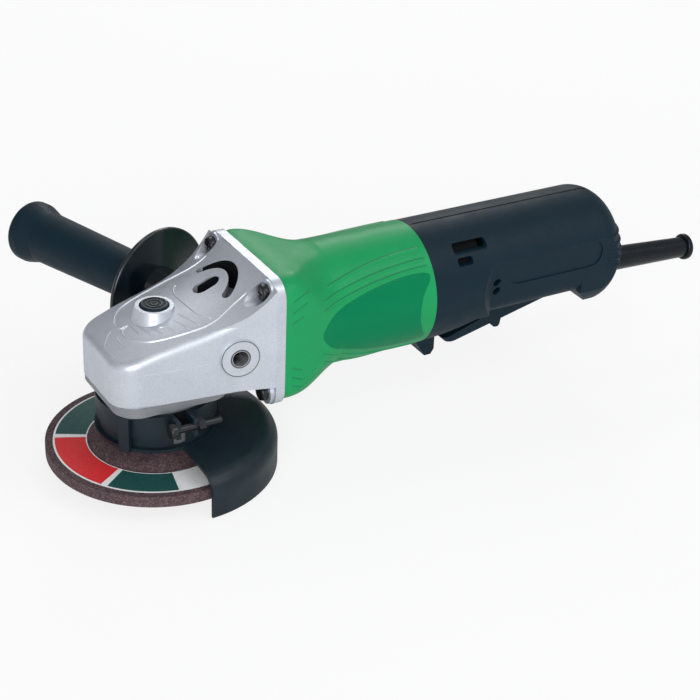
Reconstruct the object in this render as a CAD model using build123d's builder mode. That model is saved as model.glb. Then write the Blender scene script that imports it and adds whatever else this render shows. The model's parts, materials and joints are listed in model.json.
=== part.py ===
import math
import os

from build123d import *

# Angle grinder with a paddle switch and a 115 mm depressed-centre wheel, in millimetres.
# +Z runs up the spindle, +X along the motor from head to tail, the side handle is on +Y.
# The origin is the free lower tip of the spindle.

# Clearances
RUN = 0.05        # radial, shaft in bearing and pin in eye
SEAT = 0.02       # radial, fixed seats
PASS = 0.3        # between bodies that move past each other
HOLE = 0.25       # radial, screw shank in a plain hole

# Wheel and spindle, from the tip upwards
TIP_FREE = 3.0
THREAD_R = 7.0
NUT_T = 6.0
NUT_R = 20.0
NUT_PIN_R = 2.6
NUT_PIN_PITCH_R = 15.0
NUT_PIN_COUNT = 4
WHEEL_R = 57.5
WHEEL_T = 6.0
WHEEL_BORE_R = 11.115
WHEEL_DROP = 4.6          # the rim lies this much below the hub
WHEEL_HUB_R = 23.5
WHEEL_CONE_R = 34.5
FLANGE_T = 5.0
FLANGE_R = 22.0
FLANGE_PILOT_T = 4.0
FLANGE_GAP = 0.8          # inner flange to bearing box
SHOULDER_R = 9.0
LEAD_R = 6.0              # plain lead-in at the spindle's tip
LEAD_L = 2.5
NUT_CHAMFER = 1.0
FLANGE_CHAMFER = 1.2
PILOT_GAP = 0.1           # inner flange's pilot in the wheel's bore
JOURNAL_R = 6.0
TOP_JOURNAL_R = 4.0

# Bearing box
NECK_R = 27.9
NECK_H = 21.6
BOX_FLANGE_T = 5.0
BOX_HALF_X = 31.0
BOX_HALF_Y = 29.5
BOX_CORNER_R = 13.0
BOX_FLOOR_T = 6.6         # neck end below the bearing
BOX_LIP_GAP = 1.0         # spindle shoulder to the neck's end hole
BOX_SPIGOT_T = 2.0
BOX_SCREW_XY = 23.5
BOX_SCREW_R = 2.0
BOX_SCREW_HEAD_R = 3.6
BOX_SCREW_HEAD_T = 2.6
BOX_SCREW_SUNK = 1.6
BOX_SCREW_REACH = 8.0
BOX_DRIVE_L = 4.2         # cross recess in the box screws
BOX_DRIVE_W = 1.0
BOX_DRIVE_DEPTH = 1.2
RETAINER_T = 2.0
RETAINER_R = 18.0
RETAINER_HOLE_R = 12.0

# Ball bearings: bore radius, outer radius, width
SPINDLE_BEARING = (6.0, 16.0, 10.0)
FRONT_BEARING = (6.0, 14.0, 8.0)
REAR_BEARING = (4.0, 11.0, 7.0)
BALL_COUNT = 8
NEEDLE_R = 6.0
NEEDLE_L = 8.0
NEEDLE_ROOF_T = 3.0       # from the needle bearing up to the button's floor
SPINDLE_OVER = 0.5        # spindle's end above the needle bearing

# Bevel gears: teeth taper to the crossing of the spindle and motor axes
GEAR_TEETH = 30
PINION_TEETH = 10
MODULE = 1.7
ADDENDUM = 1.35
DEDENDUM = 2.2
FACE_W = 7.8
TOOTH_SHARE = 0.36        # tooth thickness at the pitch line, as a share of the pitch
TOOTH_SLOPE = 0.42        # flank run per unit of height
GEAR_HUB_R = 8.6
GEAR_WEB_T = 8.0
GEAR_RING_R = 9.0
GEAR_RING_T = 1.5
PINION_BORE_R = 3.5
PINION_HUB_R = 6.3
PINION_NOSE_L = 1.5
PINION_NUT_R = 5.0
PINION_NUT_T = 5.0

# Motor train along X, from the spindle axis
AXIS_RISE = 21.0          # motor axis above the gear case's lower face
SHAFT_TIP_X = 12.0
PINION_SEAT_X = 30.0
FRONT_BEARING_X = 38.0
JOINT_X = 54.0            # gear case meets motor housing
FAN_X = 58.0
FAN_L = 16.0
FAN_R = 29.4
FAN_HUB_R = 10.0
FAN_PLATE_T = 2.0
FAN_BLADES = 12
FAN_BLADE_T = 1.6
FAN_BLADE_R = 14.0
FAN_BLADE_TILT = 12.0
FAN_BLADE_SETBACK = 2.0   # blades behind the hub's front
FAN_BLADE_INSET = 1.0     # blade tips inside the plate's rim
GUIDE_X = 77.0
GUIDE_T = 3.0
GUIDE_HOLE_R = 23.0
STATOR_X = 93.0
STATOR_L = 46.0
AIR_GAP = 0.7
ARMATURE_R = 16.5
ARMATURE_SLOTS = 12
SLOT_W = 2.6
SLOT_DEPTH = 5.0
COIL_END = 8.0
WINDING_R = 14.5
WINDING_ROUND = 3.0
COIL_BORE_GAP = 1.0       # stator coils outside the stator's bore
POLE_GAP_W = 28.2         # between the two poles' horns
COIL_GAP_W = 19.7         # between the two coils
YOKE_T = 6.0
COMMUTATOR_GAP = 4.0      # clear of the end windings
COMMUTATOR_X = STATOR_X + STATOR_L + COIL_END + COMMUTATOR_GAP
COMMUTATOR_L = 15.0
COMMUTATOR_R = 10.5
COMMUTATOR_BARS = 24
COMMUTATOR_CUT = 0.6
COMMUTATOR_CUT_DEPTH = 1.0
REAR_BEARING_GAP = 6.0    # clear of the commutator
REAR_BEARING_X = COMMUTATOR_X + COMMUTATOR_L + REAR_BEARING_GAP

# Motor housing
BARREL_R = 33.7
BARREL_WALL = 3.0
STATOR_SEAT = 0.1         # stator in the barrel
STATOR_R = BARREL_R - BARREL_WALL - STATOR_SEAT
BARREL_END_X = 147.0
FLARE_HALF = 39.0
FLARE_HALF_H = 34.9
FLARE_LIFT = 1.0          # flare and flange sit this much above the motor axis
FLARE_CORNER_R = 12.0
FLARE_STRAIGHT = 8.0
FLARE_MID_X = 77.5
FLARE_MID_HALF = 35.6
FLARE_MID_HALF_H = 34.6
FLARE_MID_DROP = 1.0
FLARE_MID_CORNER_R = 23.0
FLARE_END_X = 91.5
FLAT_SLIVER = 0.6         # flat left on the flare's round end, so its edges pair up
FAN_ROOM_R = 31.4
FRAME_R = 29.0            # brush frame that reaches into the tail
FRAME_WALL = 2.6
FRAME_END_LAP = 1.0       # frame's end behind the rear bearing
FRAME_END_X = REAR_BEARING_X + REAR_BEARING[2] + FRAME_END_LAP
FRAME_WEB_T = 3.0
FRAME_AIR_HOLES = 6
FRAME_AIR_HOLE_R = 4.0
BEARING_WALL = 3.0
SCREW_HALF_Y = 30.0
SCREW_HALF_Z = 28.6
CASE_SCREW_R = 2.5
CASE_SCREW_HEAD_R = 4.4
CASE_SCREW_HEAD_T = 3.6
CASE_SCREW_HEAD_ROUND = 1.2
CASE_SCREW_REACH = 7.6
DRIVE_L = 4.8             # cross recess in the flange screws
DRIVE_W = 1.1
DRIVE_DEPTH = 1.6

# Brushes
BRUSH_SETBACK = 7.0       # brushes behind the commutator's front
BRUSH_X = COMMUTATOR_X + BRUSH_SETBACK
BRUSH_W = 6.5
BRUSH_H = 10.0
BRUSH_WALL = 1.5
BRUSH_L = 11.0
BRUSH_GAP = 0.1
BRUSH_HOLDER_GAP = 2.0    # holder to commutator
BRUSH_CAP_T = 1.5

# Gear case
NOSE_X = 32.2             # front face ahead of the spindle axis
NOSE_HALF_W = 26.6
HEAD_HALF_W = 34.2        # at the handle sockets
HEAD_CORNER_R = 14.0
HEAD_EDGE_R = 5.0
HEAD_STATIONS = (         # x, height at the side edge and on the ridge, above the lower face
    (-44.0, 16.5, 18.5),
    (-20.0, 23.2, 29.4),
    (0.0, 27.6, 36.4),
    (20.0, 33.6, 42.0),
    (35.0, 42.0, 48.0),
    (50.0, 56.5, 58.0),
)
SWEEP_DEPTH = 30.0        # roof form below the lower face, before it is cut
CASE_FLANGE_T = 5.0
CASE_FLANGE_HALF = 39.2
CASE_FLANGE_HALF_H = 35.7
CASE_FLANGE_CORNER_R = 10.0
LUG_R = 6.6
LUG_T = 6.6
GEAR_ROOM_R = 28.0
GEAR_ROOM_H = 17.2
PINION_ROOM_R = 14.0
PINION_ROOM_X = 9.5
COVER_R = 27.0
COVER_T = 8.0
COVER_BOSS_R = 17.5
COVER_LIP_T = 2.0
COVER_LIP_GAP = 1.5
SCREW_WELL_L = 14.0       # scooped room ahead of each flange screw
SCREW_WELL_GAP = 1.4
VENT_FLOOR = 16.0         # bottom of the air outlets above the motor axis
VENT_X = 25.0             # centre of the crescent air outlet
VENT_R = 17.0
VENT_W = 5.0
VENT_HALF_ANGLE = 62.0
OUTLET_X = 28.5           # centre of the oval one
OUTLET_L = 14.0
OUTLET_W = 8.5

# Spindle lock
BOSS_R = 9.8
BOSS_BASE_R = 12.8
BOSS_TOP = 40.0           # above the gear case's lower face
BUTTON_R = 7.5
BUTTON_PROUD = 0.8
BUTTON_H = 6.8
BUTTON_BORE_DEPTH = 10.0
BUTTON_EDGE_R = 0.8
LOCK_PIN_R = 3.0
TANG_SIDE = 3.6
SOCKET_SIDE = 4.3
SOCKET_DEPTH = 4.0
TANG_REST_GAP = 0.8
TANG_L = 3.4
SPRING_WIRE_R = 0.4
SPRING_R = 5.0
SPRING_TURNS = 4
SPRING_POCKET_H = 4.0
SPRING_POCKET_R = 6.0

# Side handle and its two sockets
HANDLE_X = 30.5
HANDLE_RISE = 19.6        # above the gear case's lower face
HANDLE_TILT = 20.0        # degrees, forward
NEAR_TILT = 8.0
NEAR_FACE_Y = 36.0
FAR_FACE_Y = 37.6
SOCKET_BOSS_R = 10.2
SOCKET_TAP_R = 4.25
SOCKET_BORE_DEPTH = 14.0
BOLT_END_GAP = 1.0        # bolt's end to the bottom of its hole
BOLT_R = 4.2
BOLT_IN_GRIP = 30.0
DISC_R = 34.0
DISC_T = 2.6
DISC_STAND = 14.2
DISC_HUB_R = 12.5
DISC_HUB_TOP_R = 9.6
DISC_RIM_R = 1.0
GRIP_L = 102.0
GRIP_R_NEAR = 12.9
GRIP_R_FAR = 14.5
GRIP_END_R = 17.2
GRIP_END_T = 7.0
GRIP_END_ROUND = 3.0
GRIP_NECK_L = 9.0

# Tail covers
TAIL_R = 33.5
TAIL_WALL = 2.8
TAIL_END_X = 276.0
TAIL_END_ROUND = 18.0
GRIP_LEAD = 4.0           # covers draw in this far before the frame's end
GRIP_START_X = FRAME_END_X - GRIP_LEAD
GRIP_FADE = 8.0
GRIP_HALF_W = 29.6
GRIP_FLOOR_DROP = 16.0    # grip underside below the motor axis
FLOOR_START_X = 149.0
FLOOR_START_DROP = 27.6
FLOOR_LEAD_DROP = 29.6    # floor where the tail meets the barrel
HEEL_X = 245.0
HEEL_FRONT_X = 253.0
HEEL_BACK_X = 270.0
HEEL_DROP = 25.0
HEEL_RISE_DROP = 12.0
FLOOR_EDGE_R = 8.0
NUB_X = 150.0
NUB_BACK_X = 161.8
NUB_DROP = 42.8
NUB_TOE_L = 4.0           # flat toe of the finger stop
NUB_TOE_SETBACK = 2.0
NUB_TOE_RISE = 3.0
NUB_ROOT_LAP = 7.0        # finger stop's root inside the floor
NUB_HALF_W = 11.0
SEAT_RING_X = 149.0
SEAT_RING_T = 3.0
SLOT_UPPER = (162.5, 183.3, 25.2, 4.6)     # from x, to x, above the motor axis, height
SLOT_LOWER = (163.0, 172.3, 19.6, 3.8)
OVAL_HOLE_X = 187.5
OVAL_HOLE_RISES = (3.8, -1.3)
OVAL_HOLE_R = 1.6
OVAL_HOLE_L = 5.0
OVAL_HOLE_LEAN = 35.0
PANEL_X = (194.7, 257.4)
PANEL_RISE = 8.0
PANEL_H = 16.0
PANEL_DEPTH = 0.6
LOUVRE_COUNT = 6
LOUVRE_PITCH = 4.6
LOUVRE_H = 2.2
LOUVRE_DEPTH = 5.0
LOUVRE_RISE = -5.5        # lowest louvre, from the motor axis
COVER_SCREW_R = 1.6
COVER_SCREW_HEAD_R = 3.2
COVER_SCREW_HEAD_T = 2.4
COVER_SCREW_L = 22.0
COVER_BOSS_PLACES = ((197.0, 25.0), (263.0, 20.0), (262.0, 2.0))
COVER_SCREW_BOSS_R = 4.0
COVER_SCREW_HEAD_Y = 10.0  # head seat beyond the parting plane

# Cord guard
CORD_EXIT_DROP = 15.0
CORD_SLOPE = 3.6
CORD_GUARD_X = 264.0
CORD_GUARD_L = 80.0
CORD_GUARD_R = 7.2
CORD_GUARD_END_R = 6.0
CORD_COLLAR_R = 7.7
CORD_COLLAR_T = 3.6
CORD_COLLAR_ROUND = 1.2
CORD_GUARD_ROOT_R = 9.0
CORD_GUARD_ROOT_T = 3.0
CORD_SLEEVE_R = 10.0
CORD_BORE_R = 4.0

# Paddle switch
HINGE_X = 251.0
HINGE_DROP = 11.0
HINGE_PIN_R = 2.0
HINGE_EYE_R = 4.0
HINGE_BOSS_R = 5.0
HINGE_SIDE_GAP = 0.5
HINGE_PIN_HALF_L = 24.0
LEVER_TIP_X = 165.0
LEVER_TIP_DROP = 36.1
LEVER_NOSE = 3.0
LEVER_LIP_T = 3.0         # at the tip
LEVER_TIP_T = 5.2         # at the step
LEVER_TIP_ROUND = 4.0
LEVER_HALF_W = 15.5
LEVER_WALL = 2.4
LEVER_FLOOR = 3.0
LEVER_STEP_X = 191.0
LEVER_EXIT_X = 243.0
LEVER_EXIT_DROP = 18.4
LEVER_WALL_DROP = 15.0
LEVER_ROOM = 1.2
LEVER_OPENING_LAP = 2.5
LEVER_ROOM_BELOW = 2.0
SWITCH_X = (203.0, 235.0)
SWITCH_HALF_W = 10.0
SWITCH_DROP = 5.0
SWITCH_H = 22.0
SWITCH_RIB_T = 2.0
PLUNGER_X = 222.0
PLUNGER_GAP = 0.5
POST_R = 2.0
POST_DROP = 13.0
PLUNGER_R = 3.0
PLUNGER_DEPTH = 9.0
PLUNGER_ENTRY = 4.0
FILTER_L = 18.0
FILTER_HALF_W = 8.0
FILTER_H = 17.0
FILTER_ROUND = 2.0
LOCKOFF_X = 203.5
LOCKOFF_RISE = 6.0        # pivot above the paddle's lower line
LOCKOFF_HUB_R = 3.2
LOCKOFF_PIN_R = 1.5
LOCKOFF_HALF_W = 5.0
LOCKOFF_L = 13.4
LOCKOFF_T = 4.0
LOCKOFF_LEAN = 10.0
LOCKOFF_BAR_HALF_W = 12.2  # touch bar under the paddle
LOCKOFF_BAR_T = 5.0
LOCKOFF_BAR_H = 5.2
LOCKOFF_TIP_R = 2.0
LOCKOFF_SIDE_GAP = 0.5
LOCKOFF_SLOT_L = 15.0
LOCKOFF_SLOT_SHIFT = 1.5
LOCKOFF_SLOT_H = 11.0
LOCKOFF_PIN_HALF_L = 14.8

# Wheel guard
GUARD_R = 63.0
GUARD_T = 1.8
GUARD_TOP_R = 6.0
GUARD_BELOW = 10.4        # skirt below the wheel's mid-plane
GUARD_ABOVE = 14.0        # top plate at the collar, above the wheel's mid-plane
GUARD_FALL = 2.8          # fall of the top plate out to the shoulder
GUARD_SPAN = 176.0
COLLAR_T = 1.2
COLLAR_LIP_R = 31.8
COLLAR_LIP_T = 1.8
COLLAR_TOP_GAP = 2.2      # collar below the box flange
BAND_T = 1.8
BAND_H = 12.0
BAND_SLIT = 7.0
EAR_L = 9.0
EAR_T = 2.4
EAR_H = 9.5
CLAMP_SCREW_R = 2.0
CLAMP_HEAD_R = 4.0
CLAMP_HEAD_T = 3.4
CLAMP_HEAD_ROUND = 1.0
CLAMP_SCREW_L = 25.0
CLAMP_NUT_R = 4.2
CLAMP_NUT_T = 3.4
STOP_ANGLE = 218.0
STOP_W = 6.0
STOP_DROP = 8.0
STOP_T = 2.2
STOP_STAND = 1.4          # tab outside the band
EAR_SCREW_OUT = 5.5       # clamp screw beyond the band

# Heights that follow from the stack on the spindle
NUT_Z = TIP_FREE
HUB_Z = NUT_Z + NUT_T
RIM_Z = HUB_Z - WHEEL_DROP
WHEEL_MID_Z = RIM_Z + WHEEL_T / 2
FLANGE_Z = HUB_Z + WHEEL_T
SHOULDER_Z = FLANGE_Z + FLANGE_T
NECK_Z = SHOULDER_Z + FLANGE_GAP
BOX_FLANGE_Z = NECK_Z + NECK_H
CASE_Z = BOX_FLANGE_Z + BOX_FLANGE_T
MOTOR_Z = CASE_Z + AXIS_RISE
SPINDLE_BEARING_Z = NECK_Z + BOX_FLOOR_T
SPINDLE_BEARING_TOP = SPINDLE_BEARING_Z + SPINDLE_BEARING[2]
BOSS_Z = CASE_Z + BOSS_TOP
BUTTON_TOP_Z = BOSS_Z + BUTTON_PROUD
BUTTON_Z = BUTTON_TOP_Z - BUTTON_H
BUTTON_FLOOR_Z = BOSS_Z - BUTTON_BORE_DEPTH
NEEDLE_Z = BUTTON_FLOOR_Z - NEEDLE_ROOF_T - NEEDLE_L
SPINDLE_TOP_Z = NEEDLE_Z + NEEDLE_L + SPINDLE_OVER
GEAR_PITCH_R = MODULE * GEAR_TEETH / 2
PINION_PITCH_R = MODULE * PINION_TEETH / 2


def motor_plane(x):
    """Plane square to the motor axis at x: its own x is +Y, its own y is +Z."""
    return Plane(origin=(x, 0, MOTOR_Z), x_dir=(0, 1, 0), z_dir=(1, 0, 0))


def spindle_plane(z):
    """Plane square to the spindle axis at height z."""
    return Plane.XY.offset(z)


def tube(plane, outer, inner, length, mode=Mode.ADD):
    """Straight tube, or a disc when inner is 0, standing on a plane."""
    with BuildSketch(plane) as section:
        Circle(outer)
        if inner:
            Circle(inner, mode=Mode.SUBTRACT)
    extrude(section.sketch, amount=length, mode=mode)


def side_sheet(points, half_width, mode=Mode.ADD):
    """Outline in the XZ plane, given as x and z, extruded to both sides."""
    with BuildSketch(Plane.XZ) as section:
        with BuildLine():
            Polyline(*points, close=True)
        make_face()
    extrude(section.sketch, amount=half_width, both=True, mode=mode)


def tail_floor(lift):
    """Outline of the space under the tail, raised by lift: sloping front, grip, heel and rear."""
    return (
        (BARREL_END_X, MOTOR_Z - FLOOR_LEAD_DROP + lift),
        (FLOOR_START_X, MOTOR_Z - FLOOR_START_DROP + lift),
        (GRIP_START_X, MOTOR_Z - GRIP_FLOOR_DROP + lift),
        (HEEL_X + lift, MOTOR_Z - GRIP_FLOOR_DROP + lift),
        (HEEL_FRONT_X + lift, MOTOR_Z - HEEL_DROP + lift),
        (HEEL_BACK_X - lift, MOTOR_Z - HEEL_DROP + lift),
        (TAIL_END_X - lift, MOTOR_Z - HEEL_RISE_DROP + lift),
        (TAIL_END_X + TAIL_R, MOTOR_Z - HEEL_RISE_DROP + lift),
        (TAIL_END_X + TAIL_R, 0),
        (BARREL_END_X, 0),
    )


def save(name, part):
    """Label a finished piece and write it."""
    part.label = name
    export_step(part, f"parts/{name}.step")


os.makedirs("parts", exist_ok=True)


# Ball bearings: outer ring on its own, inner ring with the balls
BALL_PLAY = 0.2           # ball to ring
RACE_SHARE = 0.3          # ring thickness as a share of the bearing's section


def ball_bearing(name, plane, size):
    bore, outer, width = size
    ring = (outer - bore) * RACE_SHARE
    ball_r = (outer - bore - 2 * ring) / 2 - BALL_PLAY
    with BuildPart() as outer_ring:
        tube(plane, outer, outer - ring, width)
    with BuildPart(plane.offset(width / 2)) as inner_ring:
        tube(plane, bore + ring, bore + SEAT, width)
        with PolarLocations((bore + outer) / 2, BALL_COUNT):
            Sphere(ball_r)
    save(f"{name}_outer_ring", outer_ring.part)
    save(f"{name}_inner_ring", inner_ring.part)


ball_bearing("spindle_bearing", spindle_plane(SPINDLE_BEARING_Z), SPINDLE_BEARING)
ball_bearing("front_bearing", motor_plane(FRONT_BEARING_X), FRONT_BEARING)
ball_bearing("rear_bearing", motor_plane(REAR_BEARING_X), REAR_BEARING)


# Bevel wheels, made about Z with the crossing of the axes at the origin
def bevel_roots(teeth, mate):
    """Root points at the large and small ends, as radius and depth below the crossing."""
    pitch_r = MODULE * teeth / 2
    depth = MODULE * mate / 2
    cone = math.hypot(pitch_r, depth)
    small = (cone - FACE_W) / cone
    radius = pitch_r - DEDENDUM * depth / cone
    drop = depth + DEDENDUM * pitch_r / cone
    return (radius, drop), (radius * small, drop * small)


def bevel_wheel(teeth, mate, bore, base_drop, phase):
    pitch_r = MODULE * teeth / 2
    depth = MODULE * mate / 2
    cone = math.hypot(pitch_r, depth)
    small = (cone - FACE_W) / cone
    half = math.pi * MODULE * TOOTH_SHARE / 2
    large_root, small_root = bevel_roots(teeth, mate)
    inward = Vector(-pitch_r, 0, depth) / cone
    with BuildPart() as tooth:
        for scale in (1, small):
            end = Plane(origin=(pitch_r * scale, 0, -depth * scale), x_dir=(0, -1, 0), z_dir=inward)
            foot = DEDENDUM + ADDENDUM / 4
            with BuildSketch(end):
                with BuildLine():
                    Polyline(
                        ((half + foot * TOOTH_SLOPE) * scale, -foot * scale),
                        ((half - ADDENDUM * TOOTH_SLOPE) * scale, ADDENDUM * scale),
                        (-(half - ADDENDUM * TOOTH_SLOPE) * scale, ADDENDUM * scale),
                        (-(half + foot * TOOTH_SLOPE) * scale, -foot * scale),
                        close=True,
                    )
                make_face()
        loft(ruled=True)
    with BuildPart() as wheel:
        with BuildSketch(Plane.XZ):
            with BuildLine():
                Polyline(
                    (bore, -small_root[1]),
                    (small_root[0], -small_root[1]),
                    (large_root[0], -large_root[1]),
                    (bore, -large_root[1]),
                    close=True,
                )
            make_face()
        revolve(axis=Axis.Z)
        if base_drop > large_root[1]:
            tube(spindle_plane(-base_drop), large_root[0], bore, base_drop - large_root[1])
        with PolarLocations(0, teeth, start_angle=phase):
            add(tooth.part)
    return wheel.part


gear_large_root, gear_small_root = bevel_roots(GEAR_TEETH, PINION_TEETH)
pinion_large_root, pinion_small_root = bevel_roots(PINION_TEETH, GEAR_TEETH)
GEAR_TOP_Z = MOTOR_Z - gear_small_root[1]
GEAR_BASE_Z = MOTOR_Z - gear_large_root[1] - GEAR_WEB_T

gear_form = bevel_wheel(GEAR_TEETH, PINION_TEETH, JOURNAL_R + SEAT, MOTOR_Z - GEAR_BASE_Z, 0)
with BuildPart() as bevel_gear:
    with Locations((0, 0, MOTOR_Z)):
        add(gear_form)
    hub_height = GEAR_BASE_Z - SPINDLE_BEARING_TOP
    tube(spindle_plane(SPINDLE_BEARING_TOP), GEAR_HUB_R, JOURNAL_R + SEAT, hub_height)
save("bevel_gear", bevel_gear.part)

with BuildPart() as gear_ring:
    tube(spindle_plane(GEAR_TOP_Z), GEAR_RING_R, JOURNAL_R + SEAT, GEAR_RING_T)
save("gear_ring", gear_ring.part)

PINION_BACK_X = pinion_large_root[1]
PINION_FRONT_X = pinion_small_root[1] - PINION_NOSE_L
PINION_HALF_STEP = 180 / PINION_TEETH
pinion_form = bevel_wheel(PINION_TEETH, GEAR_TEETH, PINION_BORE_R + SEAT, PINION_BACK_X, PINION_HALF_STEP)
pinion_place = Plane(origin=(0, 0, MOTOR_Z), x_dir=(0, 0, -1), z_dir=(-1, 0, 0))
with BuildPart() as pinion:
    with Locations(pinion_place.location):
        add(pinion_form)
    tube(motor_plane(PINION_BACK_X), PINION_HUB_R, PINION_BORE_R + SEAT, PINION_SEAT_X - PINION_BACK_X)
    tube(motor_plane(PINION_FRONT_X), pinion_small_root[0], PINION_BORE_R + SEAT, PINION_NOSE_L)
save("pinion", pinion.part)

with BuildPart() as pinion_nut:
    with BuildSketch(motor_plane(PINION_FRONT_X - PINION_NUT_T)):
        RegularPolygon(PINION_NUT_R, 6)
        Circle(PINION_BORE_R + SEAT, mode=Mode.SUBTRACT)
    extrude(amount=PINION_NUT_T)
save("pinion_nut", pinion_nut.part)

# Spindle: thread, shoulder, bearing and gear journal, top journal with the lock socket
GEAR_RING_TOP = GEAR_TOP_Z + GEAR_RING_T
with BuildPart() as spindle:
    tube(spindle_plane(0), LEAD_R, 0, LEAD_L)
    tube(spindle_plane(LEAD_L), THREAD_R, 0, SHOULDER_Z - LEAD_L)
    tube(spindle_plane(SHOULDER_Z), SHOULDER_R, 0, SPINDLE_BEARING_Z - SHOULDER_Z)
    tube(spindle_plane(SPINDLE_BEARING_Z), JOURNAL_R, 0, GEAR_RING_TOP - SPINDLE_BEARING_Z)
    tube(spindle_plane(GEAR_RING_TOP), TOP_JOURNAL_R, 0, SPINDLE_TOP_Z - GEAR_RING_TOP)
    with BuildSketch(spindle_plane(SPINDLE_TOP_Z - SOCKET_DEPTH)):
        Rectangle(SOCKET_SIDE, SOCKET_SIDE)
    extrude(amount=SOCKET_DEPTH, mode=Mode.SUBTRACT)
save("spindle", spindle.part)

# Inner flange with its pilot in the wheel's bore
with BuildPart() as inner_flange:
    tube(spindle_plane(FLANGE_Z), FLANGE_R, THREAD_R + SEAT, FLANGE_T)
    tube(spindle_plane(FLANGE_Z - FLANGE_PILOT_T), WHEEL_BORE_R - PILOT_GAP, THREAD_R + SEAT, FLANGE_PILOT_T)
    chamfer(inner_flange.faces().sort_by(Axis.Z)[-1].edges().sort_by(SortBy.LENGTH)[-1], FLANGE_CHAMFER)
save("inner_flange", inner_flange.part)

# Grinding wheel: flat rim, cone and raised hub of one thickness
with BuildPart() as grinding_wheel:
    with BuildSketch(Plane.XZ):
        with BuildLine():
            Polyline(
                (WHEEL_BORE_R, HUB_Z),
                (WHEEL_HUB_R, HUB_Z),
                (WHEEL_CONE_R, RIM_Z),
                (WHEEL_R, RIM_Z),
                (WHEEL_R, RIM_Z + WHEEL_T),
                (WHEEL_CONE_R, RIM_Z + WHEEL_T),
                (WHEEL_HUB_R, HUB_Z + WHEEL_T),
                (WHEEL_BORE_R, HUB_Z + WHEEL_T),
                close=True,
            )
        make_face()
    revolve(axis=Axis.Z)
save("grinding_wheel", grinding_wheel.part)

# Wheel nut with four holes for a pin spanner
with BuildPart() as wheel_nut:
    tube(spindle_plane(NUT_Z), NUT_R, THREAD_R + SEAT, NUT_T)
    chamfer(wheel_nut.faces().sort_by(Axis.Z)[0].edges().sort_by(SortBy.LENGTH)[-1], NUT_CHAMFER)
    with BuildSketch(spindle_plane(NUT_Z)):
        with PolarLocations(NUT_PIN_PITCH_R, NUT_PIN_COUNT):
            Circle(NUT_PIN_R)
    extrude(amount=NUT_T, mode=Mode.SUBTRACT)
save("wheel_nut", wheel_nut.part)

# Armature shaft: pinion seat, main run, rear journal
REAR_BEARING_BACK = REAR_BEARING_X + REAR_BEARING[2]
with BuildPart() as armature_shaft:
    tube(motor_plane(SHAFT_TIP_X), PINION_BORE_R, 0, PINION_SEAT_X - SHAFT_TIP_X)
    tube(motor_plane(PINION_SEAT_X), FRONT_BEARING[0], 0, REAR_BEARING_X - PINION_SEAT_X)
    tube(motor_plane(REAR_BEARING_X), REAR_BEARING[0], 0, REAR_BEARING[2])
save("armature_shaft", armature_shaft.part)

# Fan: back plate, hub and tilted blades
with BuildPart() as fan:
    tube(motor_plane(FAN_X), FAN_HUB_R, FRONT_BEARING[0] + SEAT, FAN_L)
    tube(motor_plane(FAN_X + FAN_L - FAN_PLATE_T), FAN_R, FAN_HUB_R, FAN_PLATE_T)
    blade_len = FAN_R - FAN_BLADE_R
    with BuildSketch(motor_plane(FAN_X + FAN_BLADE_SETBACK)):
        with PolarLocations((FAN_R + FAN_BLADE_R) / 2 - FAN_BLADE_INSET, FAN_BLADES):
            Rectangle(blade_len, FAN_BLADE_T, rotation=FAN_BLADE_TILT)
    extrude(amount=FAN_L - FAN_BLADE_SETBACK - FAN_PLATE_T)
save("fan", fan.part)

# Armature core with slots, its end windings and the commutator
with BuildPart() as armature_core:
    with BuildSketch(motor_plane(STATOR_X)):
        Circle(ARMATURE_R)
        Circle(FRONT_BEARING[0] + SEAT, mode=Mode.SUBTRACT)
        with PolarLocations(ARMATURE_R, ARMATURE_SLOTS):
            Rectangle(2 * SLOT_DEPTH, SLOT_W, mode=Mode.SUBTRACT)
    extrude(amount=STATOR_L)
save("armature_core", armature_core.part)

with BuildPart() as armature_windings:
    for start in (STATOR_X - COIL_END, STATOR_X + STATOR_L):
        tube(motor_plane(start), WINDING_R, FRONT_BEARING[0] + SEAT, COIL_END)
    for end in (0, -1):
        end_face = armature_windings.faces().sort_by(Axis.X)[end]
        fillet(end_face.edges().sort_by(SortBy.LENGTH)[-1], WINDING_ROUND)
save("armature_windings", armature_windings.part)

with BuildPart() as commutator:
    with BuildSketch(motor_plane(COMMUTATOR_X)):
        Circle(COMMUTATOR_R)
        Circle(FRONT_BEARING[0] + SEAT, mode=Mode.SUBTRACT)
        with PolarLocations(COMMUTATOR_R, COMMUTATOR_BARS):
            Rectangle(2 * COMMUTATOR_CUT_DEPTH, COMMUTATOR_CUT, mode=Mode.SUBTRACT)
    extrude(amount=COMMUTATOR_L)
save("commutator", commutator.part)

# Stator: ring with two poles, and the coil ends on its faces
STATOR_BORE_R = ARMATURE_R + AIR_GAP
COIL_ROOM_R = STATOR_R - YOKE_T
with BuildPart() as stator_core:
    with BuildSketch(motor_plane(STATOR_X)):
        Circle(STATOR_R)
        Circle(STATOR_BORE_R, mode=Mode.SUBTRACT)
        Rectangle(2 * COIL_ROOM_R, POLE_GAP_W, mode=Mode.SUBTRACT)
    extrude(amount=STATOR_L)
save("stator_core", stator_core.part)

with BuildPart() as stator_coils:
    for start in (STATOR_X - COIL_END, STATOR_X + STATOR_L):
        with BuildSketch(motor_plane(start)) as coil_section:
            Circle(COIL_ROOM_R)
            Circle(STATOR_BORE_R + COIL_BORE_GAP, mode=Mode.SUBTRACT)
            Rectangle(2 * STATOR_R, COIL_GAP_W, mode=Mode.SUBTRACT)
        extrude(coil_section.sketch, amount=COIL_END)
save("stator_coils", stator_coils.part)

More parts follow.
